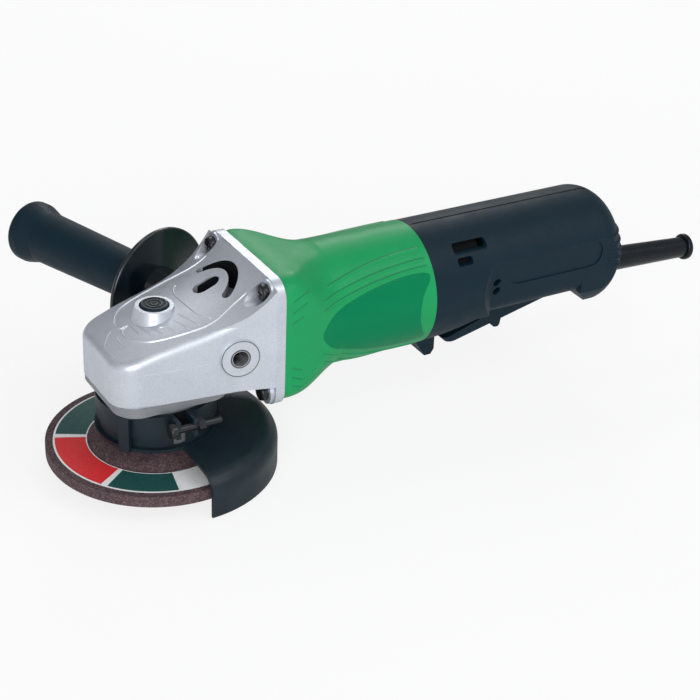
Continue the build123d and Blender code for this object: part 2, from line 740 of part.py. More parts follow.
# Bearing box under the gear case: flange, neck for the guard, bearing seat
BOX_HOLE_R = SHOULDER_R + BOX_LIP_GAP
box_screw_places = [(x, y) for x in (-BOX_SCREW_XY, BOX_SCREW_XY) for y in (-BOX_SCREW_XY, BOX_SCREW_XY)]
with BuildPart() as bearing_box:
    tube(spindle_plane(NECK_Z), NECK_R, 0, NECK_H)
    with BuildSketch(spindle_plane(BOX_FLANGE_Z)):
        RectangleRounded(2 * BOX_HALF_X, 2 * BOX_HALF_Y, BOX_CORNER_R)
    extrude(amount=BOX_FLANGE_T)
    tube(spindle_plane(CASE_Z), GEAR_ROOM_R - SEAT, 0, BOX_SPIGOT_T)
    tube(spindle_plane(NECK_Z), BOX_HOLE_R, 0, BOX_FLOOR_T, Mode.SUBTRACT)
    tube(spindle_plane(SPINDLE_BEARING_Z), SPINDLE_BEARING[1] + SEAT, 0, SPINDLE_BEARING[2], Mode.SUBTRACT)
    top_room = CASE_Z + BOX_SPIGOT_T - SPINDLE_BEARING_TOP
    tube(spindle_plane(SPINDLE_BEARING_TOP), RETAINER_R + SEAT, 0, top_room, Mode.SUBTRACT)
    for x, y in box_screw_places:
        with BuildSketch(spindle_plane(BOX_FLANGE_Z)) as shank:
            with Locations((x, y)):
                Circle(BOX_SCREW_R + HOLE)
        extrude(shank.sketch, amount=BOX_FLANGE_T, mode=Mode.SUBTRACT)
        with BuildSketch(spindle_plane(BOX_FLANGE_Z)) as sink:
            with Locations((x, y)):
                Circle(BOX_SCREW_HEAD_R + HOLE)
        extrude(sink.sketch, amount=BOX_SCREW_SUNK, mode=Mode.SUBTRACT)
save("bearing_box", bearing_box.part)

with BuildPart() as bearing_retainer:
    tube(spindle_plane(SPINDLE_BEARING_TOP), RETAINER_R, RETAINER_HOLE_R, RETAINER_T)
save("bearing_retainer", bearing_retainer.part)

BOX_HEAD_Z = BOX_FLANGE_Z + BOX_SCREW_SUNK - BOX_SCREW_HEAD_T
BOX_SHANK_L = BOX_FLANGE_T - BOX_SCREW_SUNK + BOX_SCREW_REACH
with BuildPart() as bearing_box_screws:
    with BuildSketch(spindle_plane(BOX_HEAD_Z)):
        with Locations(*box_screw_places):
            Circle(BOX_SCREW_HEAD_R)
    extrude(amount=BOX_SCREW_HEAD_T)
    with BuildSketch(spindle_plane(BOX_FLANGE_Z + BOX_SCREW_SUNK)):
        with Locations(*box_screw_places):
            Circle(BOX_SCREW_R)
    extrude(amount=BOX_SHANK_L)
    with BuildSketch(spindle_plane(BOX_HEAD_Z)):
        with Locations(*box_screw_places):
            Rectangle(BOX_DRIVE_W, BOX_DRIVE_L)
            Rectangle(BOX_DRIVE_L, BOX_DRIVE_W)
    extrude(amount=BOX_DRIVE_DEPTH, mode=Mode.SUBTRACT)
save("bearing_box_screws", bearing_box_screws.part)

with BuildPart() as needle_bearing:
    tube(spindle_plane(NEEDLE_Z), NEEDLE_R, TOP_JOURNAL_R + RUN, NEEDLE_L)
save("needle_bearing", needle_bearing.part)

# Gear case: a tapering head, the flange to the motor housing and two handle sockets
HANDLE_Z = CASE_Z + HANDLE_RISE
COVER_X = JOINT_X - COVER_T
case_screw_places = [
    (y, FLARE_LIFT + z)
    for y in (-SCREW_HALF_Y, SCREW_HALF_Y)
    for z in (-SCREW_HALF_Z, SCREW_HALF_Z)
]


def socket_plane(face_y, tilt):
    """Plane on a handle socket's face, its normal pointing out of the case."""
    lean = math.radians(tilt)
    outward = Vector(-math.sin(lean), math.copysign(math.cos(lean), face_y), 0)
    return Plane(origin=(HANDLE_X, face_y, HANDLE_Z), x_dir=(0, 0, 1), z_dir=outward)


near_socket = socket_plane(-NEAR_FACE_Y, NEAR_TILT)
far_socket = socket_plane(FAR_FACE_Y, HANDLE_TILT)

FLANGE_X = JOINT_X - CASE_FLANGE_T
ROOF_HALF_W = 2 * HEAD_HALF_W


def roof_section(x, edge, ridge):
    """Cross-section under the head's arched top, wider than the head."""
    fall = (ridge - edge) * (ROOF_HALF_W / HEAD_HALF_W) ** 2
    with BuildSketch(Plane(origin=(x, 0, CASE_Z), x_dir=(0, 1, 0), z_dir=(1, 0, 0))) as section:
        with BuildLine():
            ThreePointArc((-ROOF_HALF_W, ridge - fall), (0, ridge), (ROOF_HALF_W, ridge - fall))
            Polyline(
                (ROOF_HALF_W, ridge - fall),
                (ROOF_HALF_W, -SWEEP_DEPTH),
                (-ROOF_HALF_W, -SWEEP_DEPTH),
                (-ROOF_HALF_W, ridge - fall),
            )
        make_face()
    return section.sketch


with BuildPart() as gear_case:
    loft([roof_section(*station) for station in HEAD_STATIONS])
    with BuildSketch(spindle_plane(CASE_Z)) as plan:
        with BuildLine():
            Polyline(
                (-NOSE_X, -NOSE_HALF_W),
                (HANDLE_X, -HEAD_HALF_W),
                (FLANGE_X, -CASE_FLANGE_HALF),
                (FLANGE_X, CASE_FLANGE_HALF),
                (HANDLE_X, HEAD_HALF_W),
                (-NOSE_X, NOSE_HALF_W),
                close=True,
            )
        make_face()
        fillet(plan.vertices().group_by(Axis.X)[0], HEAD_CORNER_R)
    extrude(amount=CASE_FLANGE_HALF_H + MOTOR_Z + FLARE_LIFT - CASE_Z, mode=Mode.INTERSECT)
    roof = gear_case.faces().sort_by(Axis.Z)[-1]
    rim = roof.edges().filter_by(lambda e: e.center().X < HANDLE_X)
    fillet(rim, HEAD_EDGE_R)
    # Flange with a lug round each screw
    with BuildSketch(motor_plane(FLANGE_X)):
        with Locations((0, FLARE_LIFT)):
            RectangleRounded(2 * CASE_FLANGE_HALF, 2 * CASE_FLANGE_HALF_H, CASE_FLANGE_CORNER_R)
    extrude(amount=CASE_FLANGE_T)
    with BuildSketch(motor_plane(JOINT_X - LUG_T)):
        with Locations(*case_screw_places):
            Circle(LUG_R)
    extrude(amount=LUG_T)
    # Lock button boss and the two handle sockets
    with Locations((0, 0, BUTTON_FLOOR_Z)):
        Cone(BOSS_BASE_R, BOSS_R, BUTTON_BORE_DEPTH, align=(Align.CENTER, Align.CENTER, Align.MIN))
    for face in (near_socket, far_socket):
        tube(face.offset(-SOCKET_BORE_DEPTH), SOCKET_BOSS_R, 0, SOCKET_BORE_DEPTH)
    # Rooms for the gear, the pinion and the inner cover
    tube(spindle_plane(CASE_Z), GEAR_ROOM_R, 0, GEAR_ROOM_H, Mode.SUBTRACT)
    tube(motor_plane(PINION_ROOM_X), PINION_ROOM_R, 0, JOINT_X - PINION_ROOM_X, Mode.SUBTRACT)
    boss_front = FRONT_BEARING_X - COVER_LIP_T - PASS
    tube(motor_plane(boss_front), COVER_BOSS_R + PASS, 0, JOINT_X - boss_front, Mode.SUBTRACT)
    tube(motor_plane(COVER_X), COVER_R + SEAT, 0, COVER_T, Mode.SUBTRACT)
    # Seats on the spindle axis: needle bearing, lock pin, button
    tube(spindle_plane(CASE_Z), NEEDLE_R + SEAT, 0, SPINDLE_TOP_Z + PASS - CASE_Z, Mode.SUBTRACT)
    tube(spindle_plane(NEEDLE_Z), LOCK_PIN_R + PASS, 0, BOSS_Z - NEEDLE_Z, Mode.SUBTRACT)
    tube(spindle_plane(BUTTON_FLOOR_Z), BUTTON_R + PASS, 0, BUTTON_BORE_DEPTH, Mode.SUBTRACT)
    # Threaded holes, seen at their tap size, and the screw holes
    for face in (near_socket, far_socket):
        tube(face.offset(-SOCKET_BORE_DEPTH), SOCKET_TAP_R, 0, 2 * SOCKET_BORE_DEPTH, Mode.SUBTRACT)
    with BuildSketch(motor_plane(JOINT_X - LUG_T)):
        with Locations(*case_screw_places):
            Circle(CASE_SCREW_R + HOLE)
    extrude(amount=LUG_T, mode=Mode.SUBTRACT)
    with BuildSketch(motor_plane(JOINT_X - LUG_T - SCREW_WELL_L)):
        with Locations(*case_screw_places):
            Circle(CASE_SCREW_HEAD_R + SCREW_WELL_GAP)
    extrude(amount=SCREW_WELL_L, mode=Mode.SUBTRACT)
    with BuildSketch(spindle_plane(CASE_Z)):
        with Locations(*box_screw_places):
            Circle(BOX_SCREW_R + SEAT)
    extrude(amount=BOX_SCREW_REACH, mode=Mode.SUBTRACT)
    # Air outlets in the sweep of the top: a crescent and an oval
    with BuildSketch(spindle_plane(MOTOR_Z + VENT_FLOOR)):
        with BuildLine():
            CenterArc((VENT_X, 0), VENT_R, -VENT_HALF_ANGLE, 2 * VENT_HALF_ANGLE)
            offset(amount=VENT_W / 2)
        make_face()
        with Locations((OUTLET_X, 0)):
            SlotOverall(OUTLET_L, OUTLET_W)
    extrude(amount=CASE_FLANGE_HALF_H, mode=Mode.SUBTRACT)
save("gear_case", gear_case.part)

with BuildPart() as gear_case_screws:
    with BuildSketch(motor_plane(JOINT_X - LUG_T - CASE_SCREW_HEAD_T)):
        with Locations(*case_screw_places):
            Circle(CASE_SCREW_HEAD_R)
    extrude(amount=CASE_SCREW_HEAD_T)
    fillet(gear_case_screws.faces().filter_by(Axis.X).group_by(Axis.X)[0].edges(), CASE_SCREW_HEAD_ROUND)
    with BuildSketch(motor_plane(JOINT_X - LUG_T)):
        with Locations(*case_screw_places):
            Circle(CASE_SCREW_R)
    extrude(amount=LUG_T + CASE_SCREW_REACH)
    with BuildSketch(motor_plane(JOINT_X - LUG_T - CASE_SCREW_HEAD_T)):
        with Locations(*case_screw_places):
            Rectangle(DRIVE_L, DRIVE_W)
            Rectangle(DRIVE_W, DRIVE_L)
    extrude(amount=DRIVE_DEPTH, mode=Mode.SUBTRACT)
save("gear_case_screws", gear_case_screws.part)

# Inner cover: closes the gear room and holds the front bearing
COVER_LIP_X = FRONT_BEARING_X - COVER_LIP_T
with BuildPart() as inner_cover:
    tube(motor_plane(COVER_X), COVER_R, 0, COVER_T)
    tube(motor_plane(COVER_LIP_X), COVER_BOSS_R, 0, COVER_X - COVER_LIP_X)
    tube(motor_plane(COVER_LIP_X), FRONT_BEARING[0] + COVER_LIP_GAP, 0, JOINT_X - COVER_LIP_X, Mode.SUBTRACT)
    tube(motor_plane(FRONT_BEARING_X), FRONT_BEARING[1] + SEAT, 0, JOINT_X - FRONT_BEARING_X, Mode.SUBTRACT)
save("inner_cover", inner_cover.part)

# Motor housing: square flare at the fan, round barrel, brush frame inside the tail
with BuildPart() as motor_housing:
    for x, half, half_h, corner, lift in (
        (JOINT_X, FLARE_HALF, FLARE_HALF_H, FLARE_CORNER_R, FLARE_LIFT),
        (JOINT_X + FLARE_STRAIGHT, FLARE_HALF, FLARE_HALF_H, FLARE_CORNER_R, FLARE_LIFT),
        (FLARE_MID_X, FLARE_MID_HALF, FLARE_MID_HALF_H, FLARE_MID_CORNER_R, -FLARE_MID_DROP),
        (FLARE_END_X, BARREL_R, BARREL_R, BARREL_R - FLAT_SLIVER, 0),
    ):
        with BuildSketch(motor_plane(x)):
            with Locations((0, lift)):
                RectangleRounded(2 * half, 2 * half_h, corner)
    loft()
    tube(motor_plane(FLARE_END_X), BARREL_R, 0, BARREL_END_X - FLARE_END_X)
    tube(motor_plane(BARREL_END_X), FRAME_R, 0, FRAME_END_X - BARREL_END_X)
    STATOR_BACK_X = STATOR_X + STATOR_L
    frame_inside = FRAME_R - FRAME_WALL
    frame_depth = FRAME_END_X - FRAME_WEB_T - STATOR_BACK_X
    tube(motor_plane(JOINT_X), FAN_ROOM_R, 0, GUIDE_X + GUIDE_T - JOINT_X, Mode.SUBTRACT)
    tube(motor_plane(JOINT_X), BARREL_R - BARREL_WALL, 0, STATOR_BACK_X - JOINT_X, Mode.SUBTRACT)
    tube(motor_plane(STATOR_BACK_X), frame_inside, 0, frame_depth, Mode.SUBTRACT)
    # Rear bearing cup on the frame's end web, with air holes round it
    tube(motor_plane(REAR_BEARING_X), REAR_BEARING[1] + BEARING_WALL, 0, FRAME_END_X - REAR_BEARING_X)
    tube(motor_plane(REAR_BEARING_X), REAR_BEARING[1] + SEAT, 0, REAR_BEARING[2], Mode.SUBTRACT)
    with BuildSketch(motor_plane(FRAME_END_X - FRAME_WEB_T)):
        with PolarLocations((REAR_BEARING[1] + BEARING_WALL + frame_inside) / 2, FRAME_AIR_HOLES):
            Circle(FRAME_AIR_HOLE_R)
    extrude(amount=FRAME_WEB_T, mode=Mode.SUBTRACT)
    # Windows for the brush holders, and the frame's flat underside above the tail's floor
    with BuildSketch(motor_plane(BRUSH_X)):
        Rectangle(2 * TAIL_R, BRUSH_H + 2 * BRUSH_WALL + 2 * SEAT)
    extrude(amount=BRUSH_W / 2 + BRUSH_WALL + SEAT, both=True, mode=Mode.SUBTRACT)
    side_sheet(tail_floor(TAIL_WALL + PASS), TAIL_R, Mode.SUBTRACT)
    with BuildSketch(motor_plane(JOINT_X)):
        with Locations(*case_screw_places):
            Circle(CASE_SCREW_R + SEAT)
    extrude(amount=CASE_SCREW_REACH, mode=Mode.SUBTRACT)
save("motor_housing", motor_housing.part)

with BuildPart() as fan_guide:
    tube(motor_plane(GUIDE_X), FAN_ROOM_R - SEAT, GUIDE_HOLE_R, GUIDE_T)
save("fan_guide", fan_guide.part)

# Brush holders in the frame's windows, carbon brushes on the commutator
BRUSH_FOOT = COMMUTATOR_R + BRUSH_HOLDER_GAP
with BuildPart() as brush_holders:
    for side in (-1, 1):
        face = Plane(origin=(BRUSH_X, side * BRUSH_FOOT, MOTOR_Z), x_dir=(1, 0, 0), z_dir=(0, side, 0))
        with BuildSketch(face) as holder:
            Rectangle(BRUSH_W + 2 * BRUSH_WALL, BRUSH_H + 2 * BRUSH_WALL)
            Rectangle(BRUSH_W + 2 * SEAT, BRUSH_H + 2 * SEAT, mode=Mode.SUBTRACT)
        extrude(holder.sketch, amount=FRAME_R - BRUSH_FOOT - BRUSH_CAP_T)
        with BuildSketch(face.offset(FRAME_R - BRUSH_FOOT - BRUSH_CAP_T)) as cap:
            Rectangle(BRUSH_W + 2 * BRUSH_WALL, BRUSH_H + 2 * BRUSH_WALL)
        extrude(cap.sketch, amount=BRUSH_CAP_T)
save("brush_holders", brush_holders.part)

with BuildPart() as carbon_brushes:
    for side in (-1, 1):
        brush_y = side * (COMMUTATOR_R + BRUSH_GAP)
        face = Plane(origin=(BRUSH_X, brush_y, MOTOR_Z), x_dir=(1, 0, 0), z_dir=(0, side, 0))
        with BuildSketch(face) as brush:
            Rectangle(BRUSH_W, BRUSH_H)
        extrude(brush.sketch, amount=BRUSH_L)
save("carbon_brushes", carbon_brushes.part)

# Tail covers: one hollow form, split along the middle
TAIL_AXIS_RISE = 2 * TAIL_R
OVERCUT = 1.0             # cutting forms reach this far past the surface


def tail_form(inset):
    """Closed form of the tail, drawn in by inset on every side."""
    end_x = TAIL_END_X - inset
    radius = TAIL_R - inset
    half_w = GRIP_HALF_W - inset
    with BuildPart() as form:
        tube(motor_plane(BARREL_END_X), radius, 0, end_x - BARREL_END_X)
        fillet(form.faces().sort_by(Axis.X)[-1].edges(), TAIL_END_ROUND - inset)
        # Flat sides of the grip, fading into the round front
        for side in (-1, 1):
            with BuildSketch(Plane.XY) as flat:
                with BuildLine():
                    Polyline(
                        (GRIP_START_X, side * (TAIL_R + OVERCUT)),
                        (GRIP_START_X + GRIP_FADE, side * half_w),
                        (end_x + OVERCUT, side * half_w),
                        (end_x + OVERCUT, side * 2 * TAIL_R),
                        (GRIP_START_X, side * 2 * TAIL_R),
                        close=True,
                    )
                make_face()
            extrude(flat.sketch, amount=MOTOR_Z + TAIL_AXIS_RISE, mode=Mode.SUBTRACT)
        side_sheet(tail_floor(inset), 2 * TAIL_R, Mode.SUBTRACT)
        # Rounded lower corners along the grip, behind the fade
        corner_x = GRIP_START_X + GRIP_FADE
        corner_r = FLOOR_EDGE_R - inset
        floor_y = -GRIP_FLOOR_DROP + inset
        for side in (-1, 1):
            with BuildSketch(motor_plane(corner_x)) as corner:
                with BuildLine():
                    Polyline(
                        (side * (half_w - corner_r), floor_y),
                        (side * (half_w - corner_r), floor_y - OVERCUT),
                        (side * (half_w + OVERCUT), floor_y - OVERCUT),
                        (side * (half_w + OVERCUT), floor_y + corner_r),
                        (side * half_w, floor_y + corner_r),
                    )
                    middle = corner_r * (1 - math.sqrt(0.5))
                    ThreePointArc(
                        (side * half_w, floor_y + corner_r),
                        (side * (half_w - middle), floor_y + middle),
                        (side * (half_w - corner_r), floor_y),
                    )
                make_face()
            extrude(corner.sketch, amount=HEEL_X + inset - corner_x, mode=Mode.SUBTRACT)
    return form.part


tail_outside = tail_form(0)
tail_inside = tail_form(TAIL_WALL)
LEVER_SLOPE = (LEVER_TIP_DROP - LEVER_EXIT_DROP) / (LEVER_EXIT_X - LEVER_TIP_X - LEVER_NOSE)


def lever_line(x):
    """Height of the paddle's lower line at x."""
    return MOTOR_Z - LEVER_TIP_DROP + LEVER_SLOPE * (x - LEVER_TIP_X - LEVER_NOSE)


HINGE_Z = MOTOR_Z - HINGE_DROP
GRIP_FLOOR_Z = MOTOR_Z - GRIP_FLOOR_DROP
cord_plane = Plane(
    origin=(CORD_GUARD_X, 0, MOTOR_Z - CORD_EXIT_DROP),
    x_dir=(0, 1, 0),
    z_dir=(math.cos(math.radians(CORD_SLOPE)), 0, -math.sin(math.radians(CORD_SLOPE))),
)
switch_mid_x = (SWITCH_X[0] + SWITCH_X[1]) / 2
switch_z = MOTOR_Z - SWITCH_DROP


def cross_rod(x, z, radius, y_from, y_to, mode=Mode.ADD):
    """Round rod along Y."""
    tube(Plane(origin=(x, y_from, z), x_dir=(1, 0, 0), z_dir=(0, 1, 0)), radius, 0, y_to - y_from, mode)


# Screw bosses, switch ribs, hinge bosses, seat ring and cord sleeve, trimmed to the outside
with BuildPart() as tail_works:
    for x, rise in COVER_BOSS_PLACES:
        cross_rod(x, MOTOR_Z + rise, COVER_SCREW_BOSS_R, -TAIL_R, TAIL_R)
    for x in (SWITCH_X[0] - SWITCH_RIB_T, SWITCH_X[1]):
        with BuildSketch(motor_plane(x)) as rib:
            with Locations((0, -SWITCH_DROP + SWITCH_H / 2)):
                Rectangle(2 * TAIL_R, SWITCH_H)
        extrude(rib.sketch, amount=SWITCH_RIB_T)
    for side in (-1, 1):
        boss_y = side * (LEVER_HALF_W + HINGE_SIDE_GAP)
        boss_face = Plane(origin=(HINGE_X, boss_y, HINGE_Z), x_dir=(1, 0, 0), z_dir=(0, side, 0))
        tube(boss_face, HINGE_BOSS_R, 0, TAIL_R)
    tube(motor_plane(SEAT_RING_X), TAIL_R, FRAME_R + SEAT, SEAT_RING_T)
    sleeve_length = TAIL_END_X - CORD_GUARD_X + 2 * CORD_GUARD_ROOT_T
    tube(cord_plane.offset(-CORD_GUARD_ROOT_T), CORD_SLEEVE_R, 0, sleeve_length)
    add(tail_outside, mode=Mode.INTERSECT)

with BuildPart() as tail_shell:
    add(tail_outside)
    add(tail_inside, mode=Mode.SUBTRACT)
    add(tail_works.part)
    # Finger stop under the front
    side_sheet(
        (
            (NUB_X, MOTOR_Z - FLOOR_START_DROP + NUB_TOE_RISE),
            (NUB_X, MOTOR_Z - TAIL_R),
            (NUB_BACK_X - NUB_TOE_SETBACK - NUB_TOE_L, MOTOR_Z - NUB_DROP),
            (NUB_BACK_X - NUB_TOE_SETBACK, MOTOR_Z - NUB_DROP),
            (NUB_BACK_X, MOTOR_Z - NUB_DROP + NUB_TOE_RISE),
            (NUB_BACK_X, MOTOR_Z - FLOOR_START_DROP + NUB_ROOT_LAP),
        ),
        NUB_HALF_W,
    )
    # Opening for the paddle
    opening_x = LEVER_STEP_X - LEVER_OPENING_LAP
    side_sheet(
        (
            (opening_x, GRIP_FLOOR_Z - LEVER_ROOM_BELOW),
            (HINGE_X + HINGE_EYE_R + LEVER_ROOM, GRIP_FLOOR_Z - LEVER_ROOM_BELOW),
            (HINGE_X + HINGE_EYE_R + LEVER_ROOM, GRIP_FLOOR_Z + TAIL_WALL + OVERCUT),
            (opening_x, GRIP_FLOOR_Z + TAIL_WALL + OVERCUT),
        ),
        LEVER_HALF_W + LEVER_ROOM,
        Mode.SUBTRACT,
    )
    # Cooling slots, small oval holes and the shallow grip panels on both sides
    for from_x, to_x, rise, height in (SLOT_UPPER, SLOT_LOWER):
        with BuildSketch(Plane.XZ) as slot:
            with Locations(((from_x + to_x) / 2, MOTOR_Z + rise)):
                RectangleRounded(to_x - from_x, height, height / 3)
        extrude(slot.sketch, amount=2 * TAIL_R, both=True, mode=Mode.SUBTRACT)
    for rise in OVAL_HOLE_RISES:
        with BuildSketch(Plane.XZ) as oval:
            with Locations((OVAL_HOLE_X, MOTOR_Z + rise)):
                SlotOverall(OVAL_HOLE_L, 2 * OVAL_HOLE_R, rotation=OVAL_HOLE_LEAN)
        extrude(oval.sketch, amount=2 * TAIL_R, both=True, mode=Mode.SUBTRACT)
    for side in (-1, 1):
        panel_face = Plane(
            origin=(sum(PANEL_X) / 2, side * (GRIP_HALF_W - PANEL_DEPTH), MOTOR_Z + PANEL_RISE),
            x_dir=(1, 0, 0),
            z_dir=(0, side, 0),
        )
        with BuildSketch(panel_face) as panel:
            SlotOverall(PANEL_X[1] - PANEL_X[0], PANEL_H)
        extrude(panel.sketch, amount=TAIL_WALL, mode=Mode.SUBTRACT)
    # Louvres across the rear face
    for index in range(LOUVRE_COUNT):
        rise = LOUVRE_RISE + index * LOUVRE_PITCH
        with BuildSketch(motor_plane(TAIL_END_X - LOUVRE_DEPTH)) as louvre:
            with Locations((0, rise)):
                Rectangle(2 * TAIL_R, LOUVRE_H)
        extrude(louvre.sketch, amount=2 * LOUVRE_DEPTH, mode=Mode.SUBTRACT)
    # Cord guard's bore and the groove for its root
    tube(cord_plane.offset(-2 * CORD_GUARD_ROOT_T), CORD_GUARD_R + SEAT, 0, CORD_GUARD_L, Mode.SUBTRACT)
    tube(cord_plane, CORD_GUARD_ROOT_R + SEAT, 0, CORD_GUARD_ROOT_T, Mode.SUBTRACT)
    # Hinge pin seat
    cross_rod(HINGE_X, HINGE_Z, HINGE_PIN_R + SEAT, -HINGE_PIN_HALF_L, HINGE_PIN_HALF_L, Mode.SUBTRACT)
    # Screw holes: blind in the left cover, plain with a sunk head in the right one
    for x, rise in COVER_BOSS_PLACES:
        z = MOTOR_Z + rise
        cross_rod(x, z, COVER_SCREW_R + SEAT, COVER_SCREW_HEAD_Y - COVER_SCREW_L, 0, Mode.SUBTRACT)
        cross_rod(x, z, COVER_SCREW_R + HOLE, 0, COVER_SCREW_HEAD_Y, Mode.SUBTRACT)
        cross_rod(x, z, COVER_SCREW_HEAD_R + HOLE, COVER_SCREW_HEAD_Y, 2 * TAIL_R, Mode.SUBTRACT)

with BuildPart() as handle_cover_left:
    add(tail_shell.part)
    split(bisect_by=Plane.XZ, keep=Keep.TOP)
save("handle_cover_left", handle_cover_left.part)

with BuildPart() as handle_cover_right:
    add(tail_shell.part)
    split(bisect_by=Plane.XZ, keep=Keep.BOTTOM)
save("handle_cover_right", handle_cover_right.part)

with BuildPart() as handle_cover_screws:
    for x, rise in COVER_BOSS_PLACES:
        z = MOTOR_Z + rise
        cross_rod(x, z, COVER_SCREW_R, COVER_SCREW_HEAD_Y - COVER_SCREW_L, COVER_SCREW_HEAD_Y)
        cross_rod(x, z, COVER_SCREW_HEAD_R, COVER_SCREW_HEAD_Y, COVER_SCREW_HEAD_Y + COVER_SCREW_HEAD_T)
save("handle_cover_screws", handle_cover_screws.part)

# Switch between its two ribs, with the plunger's bore from below
with BuildPart() as switch_body:
    with BuildSketch(spindle_plane(switch_z)):
        with Locations((switch_mid_x, 0)):
            Rectangle(SWITCH_X[1] - SWITCH_X[0], 2 * SWITCH_HALF_W)
    extrude(amount=SWITCH_H)
    with BuildSketch(spindle_plane(switch_z)):
        with Locations((PLUNGER_X, 0)):
            Circle(PLUNGER_R + RUN)
    extrude(amount=PLUNGER_DEPTH, mode=Mode.SUBTRACT)
save("switch_body", switch_body.part)

POST_TOP_Z = MOTOR_Z - POST_DROP
with BuildPart() as switch_plunger:
    with BuildSketch(spindle_plane(POST_TOP_Z + PLUNGER_GAP)):
        with Locations((PLUNGER_X, 0)):
            Circle(PLUNGER_R)
    extrude(amount=switch_z + PLUNGER_ENTRY - POST_TOP_Z - PLUNGER_GAP)
save("switch_plunger", switch_plunger.part)

# Noise filter against the rear switch rib
FILTER_X = SWITCH_X[1] + SWITCH_RIB_T
with BuildPart() as noise_filter:
    with BuildSketch(spindle_plane(switch_z)):
        with Locations((FILTER_X + FILTER_L / 2, 0)):
            Rectangle(FILTER_L, 2 * FILTER_HALF_W)
    extrude(amount=FILTER_H)
    fillet(noise_filter.edges().filter_by(Axis.Z), FILTER_ROUND)
save("noise_filter", noise_filter.part)

# Paddle: solid tip, hollow body, hinge eye and the post under the plunger
with BuildPart() as switch_lever:
    wall_top = MOTOR_Z - LEVER_WALL_DROP
    tip_z = MOTOR_Z - LEVER_TIP_DROP
    side_sheet(
        (
            (LEVER_TIP_X, tip_z + LEVER_LIP_T),
            (LEVER_TIP_X + LEVER_NOSE, tip_z),
            (LEVER_EXIT_X, lever_line(LEVER_EXIT_X)),
            (HINGE_X, HINGE_Z - HINGE_EYE_R),
            (HINGE_X, HINGE_Z + HINGE_EYE_R),
            (LEVER_EXIT_X, wall_top + LEVER_NOSE),
            (LEVER_STEP_X + LEVER_NOSE, wall_top),
            (LEVER_STEP_X, wall_top - LEVER_NOSE),
            (LEVER_STEP_X - LEVER_NOSE, lever_line(LEVER_STEP_X) + LEVER_TIP_T),
        ),
        LEVER_HALF_W,
    )
    tip_face = switch_lever.faces().sort_by(Axis.X)[0]
    fillet(tip_face.edges().filter_by(Axis.Y, reverse=True), LEVER_TIP_ROUND)
    cross_rod(HINGE_X, HINGE_Z, HINGE_EYE_R, -LEVER_HALF_W, LEVER_HALF_W)
    pocket_front = LEVER_STEP_X + LEVER_WALL
    pocket_back = HINGE_X - HINGE_EYE_R - LEVER_WALL
    side_sheet(
        (
            (pocket_front, lever_line(pocket_front) + LEVER_FLOOR),
            (pocket_back, lever_line(pocket_back) + LEVER_FLOOR),
            (pocket_back, MOTOR_Z),
            (pocket_front, MOTOR_Z),
        ),
        LEVER_HALF_W - LEVER_WALL,
        Mode.SUBTRACT,
    )
    with BuildSketch(spindle_plane(lever_line(PLUNGER_X) + LEVER_FLOOR / 2)) as post:
        with Locations((PLUNGER_X, 0)):
            Circle(POST_R)
    extrude(post.sketch, amount=POST_TOP_Z - lever_line(PLUNGER_X) - LEVER_FLOOR / 2)
    cross_rod(HINGE_X, HINGE_Z, HINGE_PIN_R + RUN, -LEVER_HALF_W, LEVER_HALF_W, Mode.SUBTRACT)
    # Slot for the lock-off lever and the holes for its pin
    LOCKOFF_Z = lever_line(LOCKOFF_X) + LOCKOFF_RISE
    with BuildSketch(spindle_plane(lever_line(LEVER_STEP_X) - OVERCUT)) as slot:
        with Locations((LOCKOFF_X + LOCKOFF_SLOT_SHIFT, 0)):
            Rectangle(LOCKOFF_SLOT_L, 2 * LOCKOFF_HALF_W + 2 * LOCKOFF_SIDE_GAP)
    extrude(slot.sketch, amount=LOCKOFF_SLOT_H, mode=Mode.SUBTRACT)
    pin_half = LOCKOFF_PIN_HALF_L
    cross_rod(LOCKOFF_X, LOCKOFF_Z, LOCKOFF_PIN_R + SEAT, -pin_half, pin_half, Mode.SUBTRACT)
save("switch_lever", switch_lever.part)

with BuildPart() as lever_pin:
    cross_rod(HINGE_X, HINGE_Z, HINGE_PIN_R, -HINGE_PIN_HALF_L, HINGE_PIN_HALF_L)
save("lever_pin", lever_pin.part)

# Lock-off lever: a finger through the paddle's floor with a touch bar below, on its own pin
with BuildPart() as lock_off_lever:
    cross_rod(LOCKOFF_X, LOCKOFF_Z, LOCKOFF_HUB_R, -LOCKOFF_HALF_W, LOCKOFF_HALF_W)
    lean = math.radians(LOCKOFF_LEAN)
    finger_down = Vector(-math.sin(lean), 0, -math.cos(lean))
    finger_plane = Plane(origin=(LOCKOFF_X, 0, LOCKOFF_Z), x_dir=(0, 1, 0), z_dir=finger_down)
    with BuildSketch(finger_plane):
        Rectangle(2 * LOCKOFF_HALF_W, LOCKOFF_T)
    extrude(amount=LOCKOFF_L)
    with BuildSketch(finger_plane.offset(LOCKOFF_L - LOCKOFF_BAR_H)):
        Rectangle(2 * LOCKOFF_BAR_HALF_W, LOCKOFF_BAR_T)
    extrude(amount=LOCKOFF_BAR_H)
    fillet(lock_off_lever.faces().sort_by(Axis.Z)[0].edges().filter_by(Axis.Y), LOCKOFF_TIP_R)
    cross_rod(LOCKOFF_X, LOCKOFF_Z, LOCKOFF_PIN_R + RUN, -LOCKOFF_HALF_W, LOCKOFF_HALF_W, Mode.SUBTRACT)
save("lock_off_lever", lock_off_lever.part)

with BuildPart() as lock_off_pin:
    cross_rod(LOCKOFF_X, LOCKOFF_Z, LOCKOFF_PIN_R, -LOCKOFF_PIN_HALF_L, LOCKOFF_PIN_HALF_L)
save("lock_off_pin", lock_off_pin.part)

